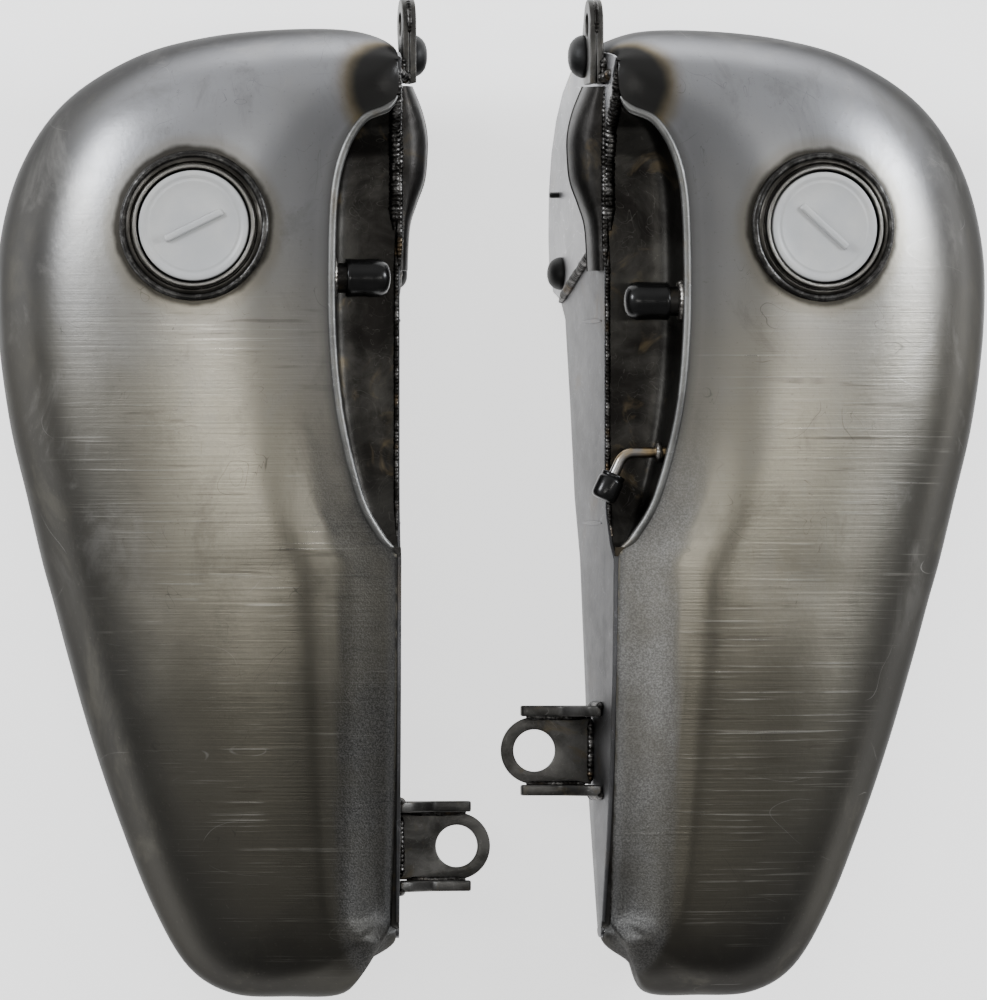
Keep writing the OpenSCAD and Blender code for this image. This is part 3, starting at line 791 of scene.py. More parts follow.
def top_shares():
    """Shares of the way from rim to widest line, close together at both ends."""
    inner = [0.55 * (i / 22) ** 1.25 for i in range(22)]
    outer = [1 - 0.45 * (1 - i / 26) ** 2.1 for i in range(27)]
    return inner + outer


def strip_rise(away, u):
    """Height of the pressed strip beside the inner edge, behind the dash recess."""
    share = ease((u - 10.6) / 2.2) * ease((21.2 - u) / 1.6)
    raised = ease((away - 1) / 4) * ease((37 - away) / 7)
    crease = math.exp(-((away - 38) / 5.5) ** 2)
    return share * (0.9 * raised - 0.75 * crease)


def blast_share(away, u):
    """How grainy the surface is: along the inner edge from mid recess to the rear."""
    share = ease((u - 8.5) / 2.0) * ease((21.9 - u) / 0.8)
    width = mix(24, 37, ease((u - 9) / 4))
    return share * ease((width - away) / 6 + 0.5)


def lip_dulling_and_painted_shade_share(away, u):
    """How dull the rolled lip of the dash recess is, and how much painted shade darkens its
    colour.
    """
    return ease((u - 1.5) / 1.0) * ease((7 - away) / 4)


def shade_share(away, u):
    """How much painted shade darkens the shallow valley beside the grainy strip."""
    return ease((u - 9.5) / 2.5) * ease((21.9 - u) / 0.8) * ease((100 - away) / 55)


def recess_painted_shade_share(away, u):
    """How much painted shade darkens the surface beside the dash recess."""
    return ease((u - 2.5) / 2.0) * ease((14.0 - u) / 4.0) * ease((58 - away) / 50)


def meridian(u):
    """Points of the shell's outer face at rib position u, and each one's way from the rim."""
    r = spline(RIBS, u)
    rim = Vector((max(PANEL_T, r[0]), r[1]))
    wide = Vector((max(PANEL_T, r[2]), r[3]))
    rim_z = smooth_lookup(rim.y, RIM_Z)
    crest = max(rim_z, smooth_lookup(mix(rim.y, wide.y, 0.4), CROWN_Z, 40))
    reach = (wide - rim).length
    crown = mix(rim_z, crest, ease(reach / CREST_REACH))
    edge = max(ease(1 - u), ease(u - LAST + 1))
    points, ways = [], []
    for f in top_shares():
        z = mix(r[4], crown, (1 - f ** CROWN_POWER) ** (1 / CROWN_POWER))
        z -= (crown - rim_z) * (1 - ease((f - DIP_START) / DIP_SPAN)) * (1 - f)
        z += strip_rise(f * reach, u)
        s = mix(rim.x, wide.x, f)
        points.append(Vector((mix(s, wall_s(z) + PANEL_T, edge), mix(rim.y, wide.y, f), z)))
        ways.append(f * reach)
    for i in range(1, SIDE_STEPS + 1):
        a = math.radians(90 * i / SIDE_STEPS)
        f = 1 - math.cos(a) ** SIDE_POWER if i < SIDE_STEPS else 1
        z = mix(r[4], max(0, r[7]), math.sin(a))
        s = mix(wide.x, r[5], f)
        points.append(Vector((mix(s, wall_s(z) + PANEL_T, edge), mix(wide.y, r[6], f), z)))
        ways.append(reach + 10 * i)
    return points, ways


# The inner and shade shares, and part of the lip share, are painted shade.
SHARES = {"blast": blast_share, "inner": recess_painted_shade_share, "lip": lip_dulling_and_painted_shade_share, "shade": shade_share}


def outer_shell(side, finish):
    """Drawn shell with slight dents, and the narrow flange that closes its inner edge."""
    rows, values = [], {key: [] for key in SHARES}
    count = LAST * RIB_STEPS
    for i in range(count + 1):
        u = i / RIB_STEPS
        points, ways = meridian(u)
        rows.append([dent(p, side) for p in points])
        for key, share in SHARES.items():
            values[key] += [share(w, u) for w in ways]
    shape = Shape()
    shape.sheet(rows, SHELL_T)
    shape.values = {key: both + both for key, both in values.items()}
    is_left = side == "left"
    # Painted shade in the valley is kept on the left half only.
    shape.values["shade"] = [value * is_left for value in shape.values["shade"]]
    # Painted light: the right half's strip is drawn paler.
    shape.values["strip_painted_light"] = [float(not is_left)] * len(shape.points)
    flange = []
    for row in rows[int(FLANGE_FROM * RIB_STEPS):]:
        edge = row[0]
        root = Vector((wall_s(edge.z) + 0.3, edge.y, edge.z - 0.9))
        flange.append([edge.lerp(root, t) + Vector((0, 0, 0.5 * t * (1 - t)))
                       for t in (0, 0.25, 0.5, 0.75, 1)])
    shape.sheet(flange, 0.8, finish=1)
    cutter = Shape()
    hole = COLLAR_R + 0.3
    cutter.lathe([(0, -30), (hole, -30), (hole, 30), (0, 30)], neck_matrix(), steps=96)
    build("outer_shell", side, shape, [finish["raw"], finish["dark"]], sharp=50,
          cut=cutter)


def dent(p, side):
    """Slight unevenness of hand-finished sheet, always inward."""
    seed = Vector((0, 0, 3.7)) if side == "left" else Vector((5.1, 2.2, 0))
    n = noise.noise(p * 0.016 + seed) + 0.5 * noise.noise(p * 0.04 + seed)
    away = ease((p - NECK).length / 40 - 1.2)
    share = away * ease((p.x - 8) / 20)
    return p + Vector((-0.35, 0, -1)) * (0.28 * (n + 1.0) * share)


def rim_point(u, drop, out):
    """Point of the shell's rim, moved down by drop and outward by out."""
    return meridian(u)[0][0] + Vector((out, 0, -drop))


def inner_edge(start, end, s, z, step=2.0):
    """Path along the wall's top edge between two y values."""
    n = max(2, int(abs(end - start) / step))
    out = []
    for i in range(n + 1):
        y = mix(start, end, i / n)
        h = min(lookup(y, RECESS_EDGE), EDGE_H)
        out.append(Vector((wall_s(h) + s, y, h + z)))
    return out


# ------------------------------------------------------------------ wall and bottom


def profile(u):
    """Side outline of the shell at a rib position, as (y, z)."""
    points = meridian(u)[0]
    return [(p.y, p.z) for p in points[::3] + points[-1:]]


def inner_panel_front(side, finish):
    """Front part of the frame-side wall, with the welds along its top and rear edges."""
    foot = [p for p in WALL_FOOT if p[0] > SPLIT_FOOT[0]]
    edge = [p for p in RECESS_EDGE if p[0] > SPLIT_TOP[0]]
    split = [(y + SPLIT_GAP, z) for y, z in (SPLIT_FOOT, SPLIT_TOP)]
    outline = profile(0) + foot + split + edge + [(262, 183)]
    shape = Shape()
    shape.plate([wall_point(*p) for p in outline], PANEL_T, wall_place, bevel=0.25)
    joint = [wall_place((*wall_point(mix(168, 129, t), mix(160, 38, t)), -0.6))
             for t in (i / 20 for i in range(21))]
    shape.weld(joint, 6.5, 2.6, seed=11)
    shape.weld(inner_edge(269, 170, 3.0, -0.6), 8.0, 3.0, seed=3)
    build("inner_panel_front", side, shape,
                 [finish["panel"], finish["weld"]])


def inner_panel_rear(side, finish):
    """Rear part of the wall, with its pressed ribs and the lip under the shell's edge."""
    foot = [p for p in WALL_FOOT if p[0] < SPLIT_FOOT[0]]
    edge = [p for p in RECESS_EDGE if p[0] < SPLIT_TOP[0]]
    rim = [(y, smooth_lookup(y, RIM_Z) - 0.4) for y in (-235, -200, -150, -100, -60)]
    outline = [SPLIT_FOOT] + foot + profile(LAST)[::-1] + rim + edge + [SPLIT_TOP]
    shape = Shape()
    shape.plate([wall_point(*p) for p in outline], PANEL_T, wall_place, bevel=0.25)
    shape.weld(inner_edge(168, -14, 2.2, -0.4), 3.6, 2.2, seed=5)
    for y in (116, -6):
        rib = [wall_place((y, wall_point(y, z)[1], 0.1)) for z in range(100, 158, 4)]
        shape.tube(rib, lambda t: 1.5 * math.sin(math.pi * min(1, max(0.02, t))) ** 0.5)
    lip = [Vector((wall_s(z) + 1.2, y, z + 0.2)) for y, z in
           ((y, smooth_lookup(y, RIM_Z)) for y in range(-246, -22, 4))]
    shape.tube(lip, 1.3, sides=10)
    build("inner_panel_rear", side, shape,
                 [finish["wall"], finish["weld"]])


def bottom_panel(side, finish):
    """Floor of the half, welded to the shell's seam and the wall's foot."""
    rows = []
    foot_z = sorted((y, z) for y, z in WALL_FOOT)
    for i in range(LAST * 4 + 1):
        u = i / 4
        b = spline(RIBS, u)
        y = lookup(u, FOOT_Y)
        z = lookup(y, foot_z)
        foot = Vector((wall_s(z) + 3.3, y, z))
        seam = Vector((max(b[5], wall_s(b[7]) + 3.3), b[6], max(0, b[7])))
        start = seam + (foot - seam).normalized() * BOTTOM_T
        rows.append([
            Vector((mix(start.x, foot.x, t), mix(start.y, foot.y, t),
                    mix(seam.z, foot.z, t ** FOOT_CURVE)))
            for t in (j / 14 for j in range(15))
        ])
    shape = Shape()
    shape.sheet(rows, BOTTOM_T)
    seam = [r[0] + Vector((0, 0, 0.8)) for r in rows]
    shape.weld(seam, 3.4, 2.4, seed=7)
    foot = [r[-1] for r in rows[2:-2]]
    shape.weld(foot, 4.2, 2.4, seed=8)
    cutter = Shape()
    hole = OUTLET_R + 0.3
    cutter.lathe([(0, 0), (hole, 0), (hole, 60), (0, 60)],
                 Matrix.Translation(Vector(OUTLET)), steps=48)
    build("bottom_panel", side, shape,
                 [finish["under"], finish["weld"]], cut=cutter)


# ------------------------------------------------------------------ dash recess


PAN_STEPS = [(0, 0), (0.03, 0.3), (0.07, 0.6), (0.14, 0.86), (0.26, 0.98), (0.5, 1.02),
             (0.8, 1), (1, 1)]


def dash_pan(side, finish):
    """Sunken pan of the dash recess, and the rolled bead along the recess's edge."""
    rows = []
    for i in range(97):
        u = mix(*PAN_RIBS, i / 96)
        r = spline(RIBS, u)
        rim_z = smooth_lookup(r[1], RIM_Z) - SHELL_T - 0.5
        edge_z = min(rim_z - 3, lookup(r[1], RECESS_EDGE))
        edge_s = wall_s(edge_z) + PANEL_T + 0.15
        row = []
        for k in range(29):
            w, d = spline(PAN_STEPS, k / 4)
            row.append(Vector((mix(r[0], edge_s, w), r[1], mix(rim_z, edge_z, d))))
        rows.append(row[::-1])
    shape = Shape()
    shape.sheet(rows, PAN_T)
    bead = [rim_point(mix(2.2, 11.9, i / 150), 1.3, -0.4) for i in range(151)]
    shape.tube(bead, lambda t: 2.6 * min(1, 0.3 + 8 * min(t, 1 - t)), 1, sides=20)
    build("dash_pan", side, shape,
                 [finish["pan"], finish["bead"]], sharp=60)


def ring_path(place, radius, height, steps):
    """Closed circle of points about the third axis of place."""
    return [place @ Vector((radius * math.cos(a), radius * math.sin(a), height))
            for a in (2 * math.pi * i / steps for i in range(steps + 1))]


def across(y, z, s):
    """Frame at a point with its third axis along +s."""
    return Matrix.Translation((s, y, z)) @ Matrix.Rotation(math.radians(90), 4, "Y")


def vent_fitting(side, finish):
    """Steel pipe across the recess, welded at its root."""
    y = VENT_Y[side]
    shape = Shape()
    pipe = [(VENT_R, 0), (VENT_R, VENT_LEN), (VENT_BORE, VENT_LEN), (VENT_BORE, 0)]
    shape.lathe(fillet(pipe, 0.6), across(y, VENT_Z, VENT_TIP))
    ring = ring_path(across(y, VENT_Z, 41.0), 10.2, 0, 60)
    shape.weld(ring, 5.0, 3.0, loop=True, seed=21)
    build("vent_fitting", side, shape,
                 [finish["dark"], finish["bright_weld"]])


def vent_cap(side, finish):
    """Soft cap with a domed end, a slight waist and a rolled open edge."""
    r = VENT_CAP_R
    outer = [(0, 0), (r * 0.3, 0.2), (r * 0.55, 0.9), (r * 0.78, 2.3), (r * 0.93, 4.8),
             (r, 8), (r, 12), (r - 0.25, 16), (r - 0.3, 20), (r - 0.1, 23.4), (r, 24.6),
             (r, 26.4), (r - 0.6, 27), (9.3, 27), (9.3, 7.3), (0, 7.3)]
    shape = Shape()
    shape.lathe(outer, across(VENT_Y[side], VENT_Z, VENT_CAP_TIP), steps=72)
    build("vent_cap", side, shape, [finish["vinyl"]], sharp=55, body="vent_cap")


BREATHER = {"y": 36.5, "z": 177.0, "r": 3.2, "turn": 14.0, "bend": 10.0, "angle": 65.0}


def breather_path():
    b = BREATHER
    path = [Vector((b["turn"] + 34 - 2 * i, b["y"], b["z"])) for i in range(17)]
    for i in range(13):
        a = math.radians(b["angle"] * i / 12)
        path.append(Vector((b["turn"] - b["bend"] * math.sin(a),
                            b["y"] - b["bend"] * (1 - math.cos(a)), b["z"])))
    a = math.radians(180 + b["angle"])
    way = Vector((math.cos(a), math.sin(a), 0))
    end = path[-1]
    path += [end + way * 2 * i for i in range(1, 12)]
    return path, end, way


def breather_tube(side, finish):
    """Thin bent tube out of the recess."""
    path = breather_path()[0]
    shape = Shape()
    shape.tube(path, BREATHER["r"], sides=28)
    ring = [Vector((28.5, BREATHER["y"] + 4.2 * math.cos(a), BREATHER["z"] + 4.2 * math.sin(a)))
            for a in (2 * math.pi * i / 40 for i in range(41))]
    shape.weld(ring, 4.6, 2.6, loop=True, seed=31)
    build("breather_tube", side, shape,
                 [finish["bronze"], finish["bright_weld"]])


def breather_cap(side, finish):
    """Soft cap on the breather's end, with a rolled open edge."""
    end, way = breather_path()[1:]
    start = end + way * 8
    turn = way.to_track_quat("Z", "Y").to_matrix().to_4x4()
    r = 8.0
    outer = [(3.5, 0), (6.9, 0), (7.3, 0.5), (7.3, 2.0), (7.0, 2.6), (7.6, 3.4), (r, 4.6),
             (r, 12.0), (r - 0.2, 14.6), (r - 1.0, 16.2), (r - 2.6, 17), (0, 17), (0, 14.4),
             (3.5, 14.4)]
    shape = Shape()
    shape.lathe(outer, Matrix.Translation(start) @ turn, steps=64)
    build("breather_cap", side, shape, [finish["vinyl"]], sharp=55,
          body="breather_cap")


# ------------------------------------------------------------------ filler


def filler_neck(side, finish):
    """Turned ring with a seat for the cap, welded into the shell."""
    counter = CAP_R + 1.3
    rim = counter + 2.5
    groove = rim + 1.2
    ring = [(BORE_R, -NECK_DEPTH), (BORE_R + 4, -NECK_DEPTH), (BORE_R + 4, -9),
            (COLLAR_R, -9), (COLLAR_R, -4.5), (COLLAR_R - 1.2, -2.6), (COLLAR_R - 2.8, -1.7),
            (groove, -2.2), (groove, -3.4), (rim, -3.4), (rim, 0), (counter, 0),
            (counter, -SEAT), (BORE_R, -SEAT)]
    place = neck_matrix()
    shape = Shape()
    shape.lathe(fillet(ring, 0.7), place, steps=144)
    seed = 41 if side == "left" else 43
    shape.weld(ring_path(place, COLLAR_R + 0.6, -4.6, 180), 4.8, 3.4, loop=True, ripple=0.03,
               seed=seed)
    build("filler_neck", side, shape,
                 [finish["neck"], finish["neck_weld"]])


def filler_cap(side, finish):
    """Screw cap: dished face with a raised rim and grip bar, and a threaded plug below."""
    place = neck_matrix()
    r = CAP_R
    face = [(0, -1.6), (16, -1.6), (25.8, -1.6), (26.4, -1.35), (27.0, -1.35), (27.6, -1.6),
            (r - 4.4, -1.5), (r - 3.4, -0.8), (r - 2.6, -0.6), (r - 1.0, -0.6),
            (r - 0.3, -0.9), (r, -1.5), (r, -4.2), (r - 0.5, -4.7), (25.4, -4.7),
            (25.4, -6.2), (0, -6.2)]
    shape = Shape()
    shape.lathe(face, place, steps=144)
    rows = []
    for i in range(73):
        z = mix(-4.9, -20, i / 72)
        row = []
        for k in range(96):
            a = 2 * math.pi * k / 96
            ridge = 0.5 + 0.5 * math.cos(2 * math.pi * (z / 4 - a / (2 * math.pi)))
            q = 27.3 + 0.9 * ease(ridge * 1.6 - 0.3) * ease((z + 20) / 1.2)
            row.append(place @ Vector((q * math.cos(a), q * math.sin(a), z)))
        rows.append(row)
    inner = [[place @ Vector((25.2 * math.cos(a), 25.2 * math.sin(a), z))
              for a in (2 * math.pi * k / 96 for k in range(96))] for z in (-20, -4.9)]
    rows += inner
    rows.append(rows[0])
    shape.grid(rows, wrap=True)
    grip_bar(shape, place @ Matrix.Rotation(math.radians(BAR_TURN[side]), 4, "Z"))
    build("filler_cap", side, shape, [finish["cap"]], sharp=45, body="cap")


def grip_bar(shape, place):
    """Raised bar: rounded in plan, with soft top edges and a small draft."""
    rows = []
    for inset, z in ((-0.5, -1.75), (0, -1.3), (0.1, -0.2), (0.25, 0.6), (0.6, 1.0), (1.2, 1.2)):
        outline = rounded([(-19 + inset, -2.1 + inset * 0.8), (19 - inset, -2.1 + inset * 0.8),
                           (19 - inset, 2.1 - inset * 0.8), (-19 + inset, 2.1 - inset * 0.8)],
                          1.6, 6)
        rows.append([place @ Vector((x, y, z)) for x, y in outline])
    shape.grid(rows, wrap=True, ends=True)


def cap_gasket(side, finish):
    """Flat rubber ring on the neck's seat."""
    shape = Shape()
    ring = fillet([(28.7, -6.7), (33.8, -6.7), (33.8, -5.0), (28.7, -5.0)], 0.6)
    shape.lathe(ring, neck_matrix(), steps=96)
    build("cap_gasket", side, shape, [finish["rubber"]], sharp=60, body="gasket")


# ------------------------------------------------------------------ front eye


def upright(s):
    return lambda p: Vector((s + p.z, p.x, p.y))


def eye_circle(r, steps=48):
    return arc(EYE[0], EYE[1], r, 0, 360 * (steps - 1) / steps, steps - 1)


def front_bracket(side, finish):
    """Front mounting eye with the pad that carries its bumper."""
    outline = hull(eye_circle(EYE_R) + arc(*PAD, 15, 0, 350, 40) + EYE_BACK)
    shape = Shape()
    shape.plate(outline, PLY_T, upright(EYE_S), [eye_circle(EYE_HOLE, 40)], 0.7)
    tip = [Vector((EYE_S + PLY_T, p[0], p[1])) for p in arc(*EYE, EYE_R - 0.6, 118, 20, 30)]
    shape.weld(tip, 3.4, 2.4, seed=51)
    build("front_bracket", side, shape,
                 [finish["eye"], finish["weld"]])


def front_doubler(side, finish):
    """Second ply of the front eye."""
    outline = hull(eye_circle(EYE_R) + DOUBLER_BACK)
    shape = Shape()
    shape.plate(outline, PLY_T, upright(EYE_S + PLY_T + 0.05), [eye_circle(EYE_HOLE, 40)], 0.8)
    foot = [Vector((EYE_S + 2 * PLY_T + 0.6, y, 166.4)) for y in range(258, 276, 2)]
    shape.weld(foot, 6.0, 3.2, seed=53)
    root = [Vector((mix(-6, 4, t), mix(261, 266, t), mix(167, 181, t)))
            for t in (i / 10 for i in range(11))]
    shape.weld(root, 7.5, 3.4, seed=54)
    build("front_doubler", side, shape,
                 [finish["eye"], finish["weld"]])


GUSSET = [(146, -9.5), (172, -11), (186, -15), (200, -20), (214, -21.6), (228, -21.6),
          (242, -18.5), (257, -12.5)]


def front_gusset(side, finish):
    """Curved plate behind the front eye, with a rolled free edge."""
    rows = []
    for i in range(57):
        y, s = spline(GUSSET, 7 * i / 56)
        root = wall_s(GUSSET_TOP)
        steps = [(root - 0.3, GUSSET_TOP), (mix(root, s, 0.3), 159.2), (mix(root, s, 0.55), 156.6),
                 (mix(root, s, 0.78), 152), (mix(root, s, 0.9), 147), (mix(root, s, 0.97), 141),
                 (s, 136)]
        bend = [spline(steps, k / 2) for k in range(13)]
        rows.append([Vector((out, y, z)) for out, z in bend])
    shape = Shape()
    shape.sheet(rows, GUSSET_T)
    root = [Vector((wall_s(GUSSET_TOP) + 0.6, y, GUSSET_TOP + 1.2)) for y in range(148, 258, 2)]
    shape.weld(root, 5.0, 2.8, seed=61)
    free = [r[-1] + Vector((1.2, 0, 0)) for r in rows]
    shape.tube(free, 1.7, sides=10)
    build("front_gusset", side, shape,
                 [finish["dark"], finish["weld"]])


def bumper_profile(r, out):
    return [(0, 0), (r * 0.985, 0), (r, 0.3), (r, out * 0.16), (r * 0.97, out * 0.3),
            (r * 0.9, out * 0.5), (r * 0.78, out * 0.7), (r * 0.6, out * 0.87),
            (r * 0.36, out * 0.97), (0, out)]


def eye_bumper(side, finish):
    """Rubber button on the front eye's pad."""
    place = Matrix.Translation((EYE_S - 0.05, *PAD)) @ Matrix.Rotation(math.radians(-90), 4, "Y")
    shape = Shape()
    shape.lathe(bumper_profile(*EYE_BUMPER), place, steps=64)
    build("eye_bumper", side, shape, [finish["rubber"]],
                 sharp=60)


def off_wall(y, z):
    """Frame on the wall's face with its third axis pointing away from it, to the centre."""
    at = wall_place((*wall_point(y, z), -0.05))
    return Matrix.Translation(at) @ Matrix.Rotation(math.radians(-90) + LEAN, 4, "Y")


def wall_bumper(side, finish):
    """Rubber button on the frame-side wall."""
    shape = Shape()
    shape.lathe(bumper_profile(*WALL_BUMPER), off_wall(*WALL_BUMPER_AT), steps=56)
    build("wall_bumper", side, shape, [finish["rubber"]],
                 sharp=60)


def wall_stud(side, finish):
    """Short threaded stud: its radius rises and falls with each turn of the thread."""
    rows = [(0, 0)] + [(1.98 - 0.3 * (k % 2), 0.15 + 0.35 * k) for k in range(16)]
    rows += [(1.3, 5.9), (0, 6.0)]
    shape = Shape()
    shape.lathe(rows, off_wall(*STUD_AT), steps=32)
    build("wall_stud", side, shape, [finish["stud"]])


# ------------------------------------------------------------------ rear eyes


def rear_bracket(side, finish):
    """Rear mounting eye."""
    y = REAR_Y[side]
    tip = arc(-REAR_REACH, y, REAR_R, 90, 270, 40)
    outline = tip + [(-6.0, y - REAR_R), (-6.0, y + REAR_R)]
    hole = arc(-REAR_REACH, y, REAR_HOLE, 0, 352, 44)
    shape = Shape()
    shape.plate(outline, REAR_T, lambda p: Vector((p.x, p.y, p.z + REAR_Z - REAR_T / 2)),
                [hole], 0.8)
    root = [Vector((wall_s(REAR_Z) - 1.2, y + k, REAR_Z + 2.6)) for k in range(-19, 20, 2)]
    shape.weld(root, 5.0, 2.8, seed=71)
    build("rear_bracket", side, shape,
                 [finish["eye"], finish["weld"]])


def rear_flanges(side, finish):
    """Upright plates on both sides of the rear eye, with their welds."""
    low = REAR_Z - REAR_T / 2
    outline = rounded([(wall_s(low) - 0.3, low), (wall_s(158) - 0.3, 158), (-11, 154),
                       (-26, low + 12), (-REAR_REACH - 8.5, low + 8), (-REAR_REACH - 8.5, low)],
                      3.0)
    shape = Shape()
    inward = REAR_R + 0.4
    for sign in (1, -1):
        start = REAR_Y[side] + (inward if sign > 0 else -inward - FLANGE_T)
        shape.plate(outline, FLANGE_T, lambda p, a=start: Vector((p.x, a + p.z, p.y)), bevel=1.1)
        face = REAR_Y[side] + sign * inward
        bead = [Vector((s, face - sign * 0.6, low + REAR_T + 1.0)) for s in range(-46, -8, 2)]
        shape.weld(bead, 3.6, 2.6, seed=73 + sign)
        back = REAR_Y[side] + sign * (inward + FLANGE_T / 2)
        rise = [Vector((wall_s(z) - 1.0, back + sign * 3.0, z)) for z in range(126, 160, 3)]
        shape.weld(rise, 5.5, 3.0, seed=77 + sign)
    build("rear_flanges", side, shape,
                 [finish["eye"], finish["weld"]])


# ------------------------------------------------------------------ outlets


def outlet_fitting(side, finish):
    """Short threaded bung welded through the bottom panel."""
    r = OUTLET_R
    outer = [(r, 0.6)]
    outer += [(r - 0.5 * (k % 2), 1.0 + 0.8 * k) for k in range(18)]
    outer += [(r, 16), (r, 36), (OUTLET_BORE, 36), (OUTLET_BORE, 0), (r - 0.6, 0)]
    place = Matrix.Translation(Vector(OUTLET))
    shape = Shape()
    shape.lathe(outer, place, steps=64)
    build("outlet_fitting", side, shape, [finish["under"]])


def outlet_plug(side, finish):
    """Push-in plug with a flange, a pull rim and a hollow stem."""
    outer = [(0, -1.6), (5, -1.6), (6.2, -3.1), (10.4, -3.3), (11, -2.8), (11, -0.9),
             (10.4, -0.3), (5.6, -0.3), (5.7, 4), (5.4, 9.2), (4.8, 10), (4.0, 10),
             (4.0, 0.4), (0, 0.4)]
    shape = Shape()
    shape.lathe(outer, Matrix.Translation(Vector(OUTLET)), steps=64)
    build("outlet_plug", side, shape, [finish["red"]], body="outlet_plug")


def outlet_cap(side, finish):
    """Soft cap over the outlet."""
    outer = [(0, -2.5), (9.6, -2.5), (10.8, -2.0), (11.3, -1.0), (11.3, 5.4), (11.1, 7.2),
             (11.3, 8.0), (11.3, 8.7), (11.0, 9.0), (9.3, 9.0), (9.3, -0.4), (0, -0.4)]
    shape = Shape()
    shape.lathe(outer, Matrix.Translation(Vector(OUTLET)), steps=64)
    build("outlet_cap", side, shape, [finish["vinyl"]], sharp=55, body="outlet_cap")


# ------------------------------------------------------------------ studio


def studio():
    """Pale paper floor, a dome of light that is dim overhead, two softboxes and two strips."""
    mesh = bpy.data.meshes.new("floor")
    size = 30.0
    mesh.from_pydata([(-size, -size, -0.0005), (size, -size, -0.0005), (size, size, -0.0005),
                      (-size, size, -0.0005)], [], [(0, 1, 2, 3)])
    floor = bpy.data.objects.new("floor", mesh)
    floor.data.materials.append(floor_paper())
    bpy.context.scene.collection.objects.link(floor)
    dome_light()
    softbox("front_left", (-1.95, 1.0, 1.25), 0.6, 0.6, 36, (0.93, 0.96, 1.0))
    softbox("front_right", (2.0, 0.7, 1.2), 0.55, 0.6, 36, (0.93, 0.96, 1.0))
    softbox("left_streak", (-0.52, 0.10, 2.35), 0.16, 0.8, 6.0, (1.0, 0.99, 0.95))
    softbox("right_streak", (1.02, 0.14, 2.3), 0.16, 0.7, 4.5, (1.0, 0.99, 0.95))


def dome_light():
    world = bpy.data.worlds.new("dome")
    bpy.context.scene.world = world
    world.use_nodes = True
    tree = world.node_tree
    tree.nodes.clear()
    out = tree.nodes.new("ShaderNodeOutputWorld")
    glow = tree.nodes.new("ShaderNodeBackground")
    coord = tree.nodes.new("ShaderNodeTexCoord")
    split = tree.nodes.new("ShaderNodeSeparateXYZ")
    ramp = tree.nodes.new("ShaderNodeValToRGB")
    stops = [(0.0, 0.37), (0.3, 0.46), (0.6, 0.6), (0.8, 0.5), (0.93, 0.30), (1.0, 0.24)]
    ramp.color_ramp.elements[0].position = stops[0][0]
    ramp.color_ramp.elements[1].position = stops[-1][0]
    for place, _ in stops[1:-1]:
        ramp.color_ramp.elements.new(place)
    for element, (_, level) in zip(ramp.color_ramp.elements, stops):
        element.color = (level, level, level, 1)
    tree.links.new(coord.outputs["Generated"], split.inputs[0])
    tree.links.new(split.outputs[2], ramp.inputs[0])
    rear = tree.nodes.new("ShaderNodeMapRange")
    rear.interpolation_type = "SMOOTHSTEP"
    for socket, value in zip(rear.inputs[1:5], (-0.75, 0.55, 0.45, 1.3)):
        socket.default_value = value
    tree.links.new(split.outputs[1], rear.inputs[0])
    side = tree.nodes.new("ShaderNodeMapRange")
    for socket, value in zip(side.inputs[1:5], (-0.8, 0.8, 1.4, 0.75)):
        socket.default_value = value
    both = tree.nodes.new("ShaderNodeMath")
    both.operation = "MULTIPLY"
    tree.links.new(split.outputs[0], side.inputs[0])
    tree.links.new(rear.outputs[0], both.inputs[0])
    tree.links.new(side.outputs[0], both.inputs[1])
    tree.links.new(ramp.outputs[0], glow.inputs[0])
    tree.links.new(both.outputs[0], glow.inputs[1])
    tree.links.new(glow.outputs[0], out.inputs[0])


def softbox(name, at, width, height, power, color):
    data = bpy.data.lights.new(name, "AREA")
    data.shape = "RECTANGLE"
    data.size, data.size_y = width, height
    data.energy = power
    data.color = color
    obj = bpy.data.objects.new(name, data)
    bpy.context.scene.collection.objects.link(obj)
    obj.location = at
    obj.rotation_euler = (-Vector(at)).to_track_quat("-Z", "Y").to_euler()
    return obj


def camera():
    """Long lens above the pair, tipped seven degrees so that the right half's wall shows."""
    aim = Vector((-0.0104, -0.0007, 0.203))
    tilt = math.radians(7)
    far = 9.0
    data = bpy.data.cameras.new("camera")
    data.lens = 541
    data.sensor_width = 36
    obj = bpy.data.objects.new("camera", data)
    bpy.context.scene.collection.objects.link(obj)
    obj.location = aim + far * Vector((-math.sin(tilt), 0, math.cos(tilt)))
    obj.rotation_euler = (0, -tilt, 0)
    bpy.context.scene.camera = obj


# ------------------------------------------------------------------ assembly


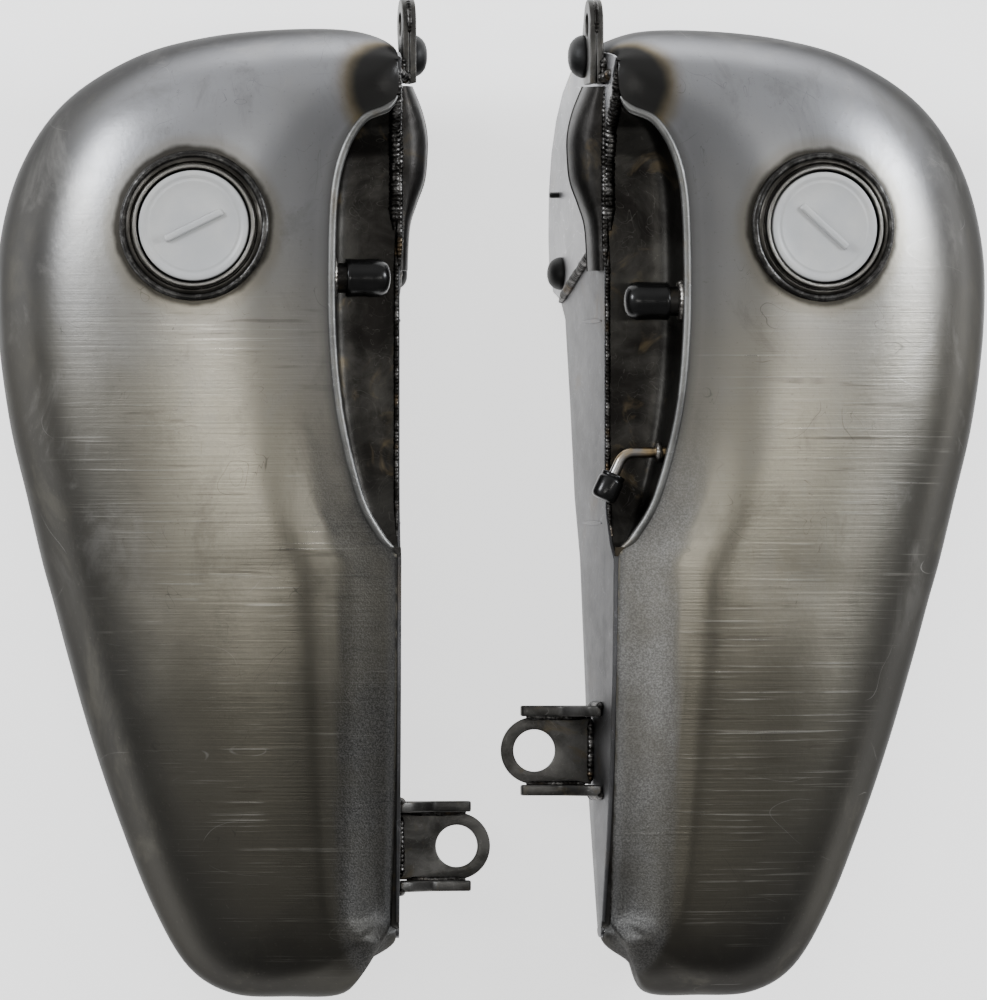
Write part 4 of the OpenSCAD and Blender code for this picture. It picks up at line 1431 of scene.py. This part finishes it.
def finishes():
    return {
        "raw": raw_steel(),
        "panel": plain_steel("panel_steel", (0.26, 0.26, 0.27), (0.42, 0.42, 0.43),
                             (0.33, 0.30, 0.25), 0.36, 10),
        "wall": plain_steel("wall_steel", (0.07, 0.07, 0.072), (0.13, 0.13, 0.135),
                            (0.12, 0.10, 0.08), 0.34, 12),
        "under": plain_steel("under_steel", (0.07, 0.068, 0.064), (0.15, 0.147, 0.14),
                             (0.13, 0.11, 0.08), 0.38, 9),
        "pan": plain_steel("pan_steel", (0.014, 0.013, 0.012), (0.05, 0.048, 0.044),
                           (0.11, 0.085, 0.05), 0.30, 20),
        "bead": plain_steel("bead_steel", (0.13, 0.13, 0.127), (0.22, 0.22, 0.214),
                            (0.16, 0.14, 0.11), 0.34, 24),
        "dark": plain_steel("dark_steel", (0.016, 0.015, 0.014), (0.045, 0.043, 0.041),
                            (0.06, 0.048, 0.03), 0.32, 24),
        "eye": plain_steel("eye_steel", (0.035, 0.034, 0.032), (0.11, 0.107, 0.102),
                           (0.11, 0.09, 0.06), 0.34, 30),
        "weld": weld_steel(),
        "bright_weld": weld_steel("bright_weld", (0.16, 0.15, 0.14), (0.62, 0.60, 0.56)),
        "neck": neck_steel(),
        "neck_weld": weld_steel("neck_weld", (0.03, 0.029, 0.028), (0.11, 0.108, 0.105), 0.0),
        "cap": cap_plastic(),
        "vinyl": soft_plastic("soft_vinyl", (0.003, 0.003, 0.003), (0.008, 0.008, 0.008), 0.16,
                              180),
        "rubber": soft_plastic("bumper_rubber", (0.004, 0.004, 0.004), (0.016, 0.015, 0.014), 0.42,
                               420, 0.0002),
        "bronze": bronze_tube(),
        "red": soft_plastic("plug_plastic", (0.42, 0.03, 0.02), (0.5, 0.09, 0.06), 0.3),
        "stud": plain_steel("stud_steel", (0.06, 0.06, 0.06), (0.14, 0.14, 0.14),
                            (0.12, 0.10, 0.07), 0.35, 60),
    }


COMMON = [
    outer_shell, inner_panel_front, inner_panel_rear, bottom_panel, dash_pan, filler_neck,
    filler_cap, cap_gasket, front_bracket, front_doubler, front_gusset, rear_bracket,
    rear_flanges, vent_fitting, vent_cap, eye_bumper, wall_bumper, wall_stud, outlet_fitting,
]


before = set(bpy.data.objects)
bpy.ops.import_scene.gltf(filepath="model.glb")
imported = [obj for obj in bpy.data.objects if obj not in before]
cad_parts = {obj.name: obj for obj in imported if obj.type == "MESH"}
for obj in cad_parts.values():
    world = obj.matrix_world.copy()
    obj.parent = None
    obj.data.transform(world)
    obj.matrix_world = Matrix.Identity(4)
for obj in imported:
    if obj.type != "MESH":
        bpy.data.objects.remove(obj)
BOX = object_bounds()
LOOKS = finishes()
for half in ("left", "right"):
    for make in COMMON:
        make(half, LOOKS)
outlet_plug("left", LOOKS)
outlet_cap("right", LOOKS)
breather_tube("right", LOOKS)
breather_cap("right", LOOKS)
studio()
camera()
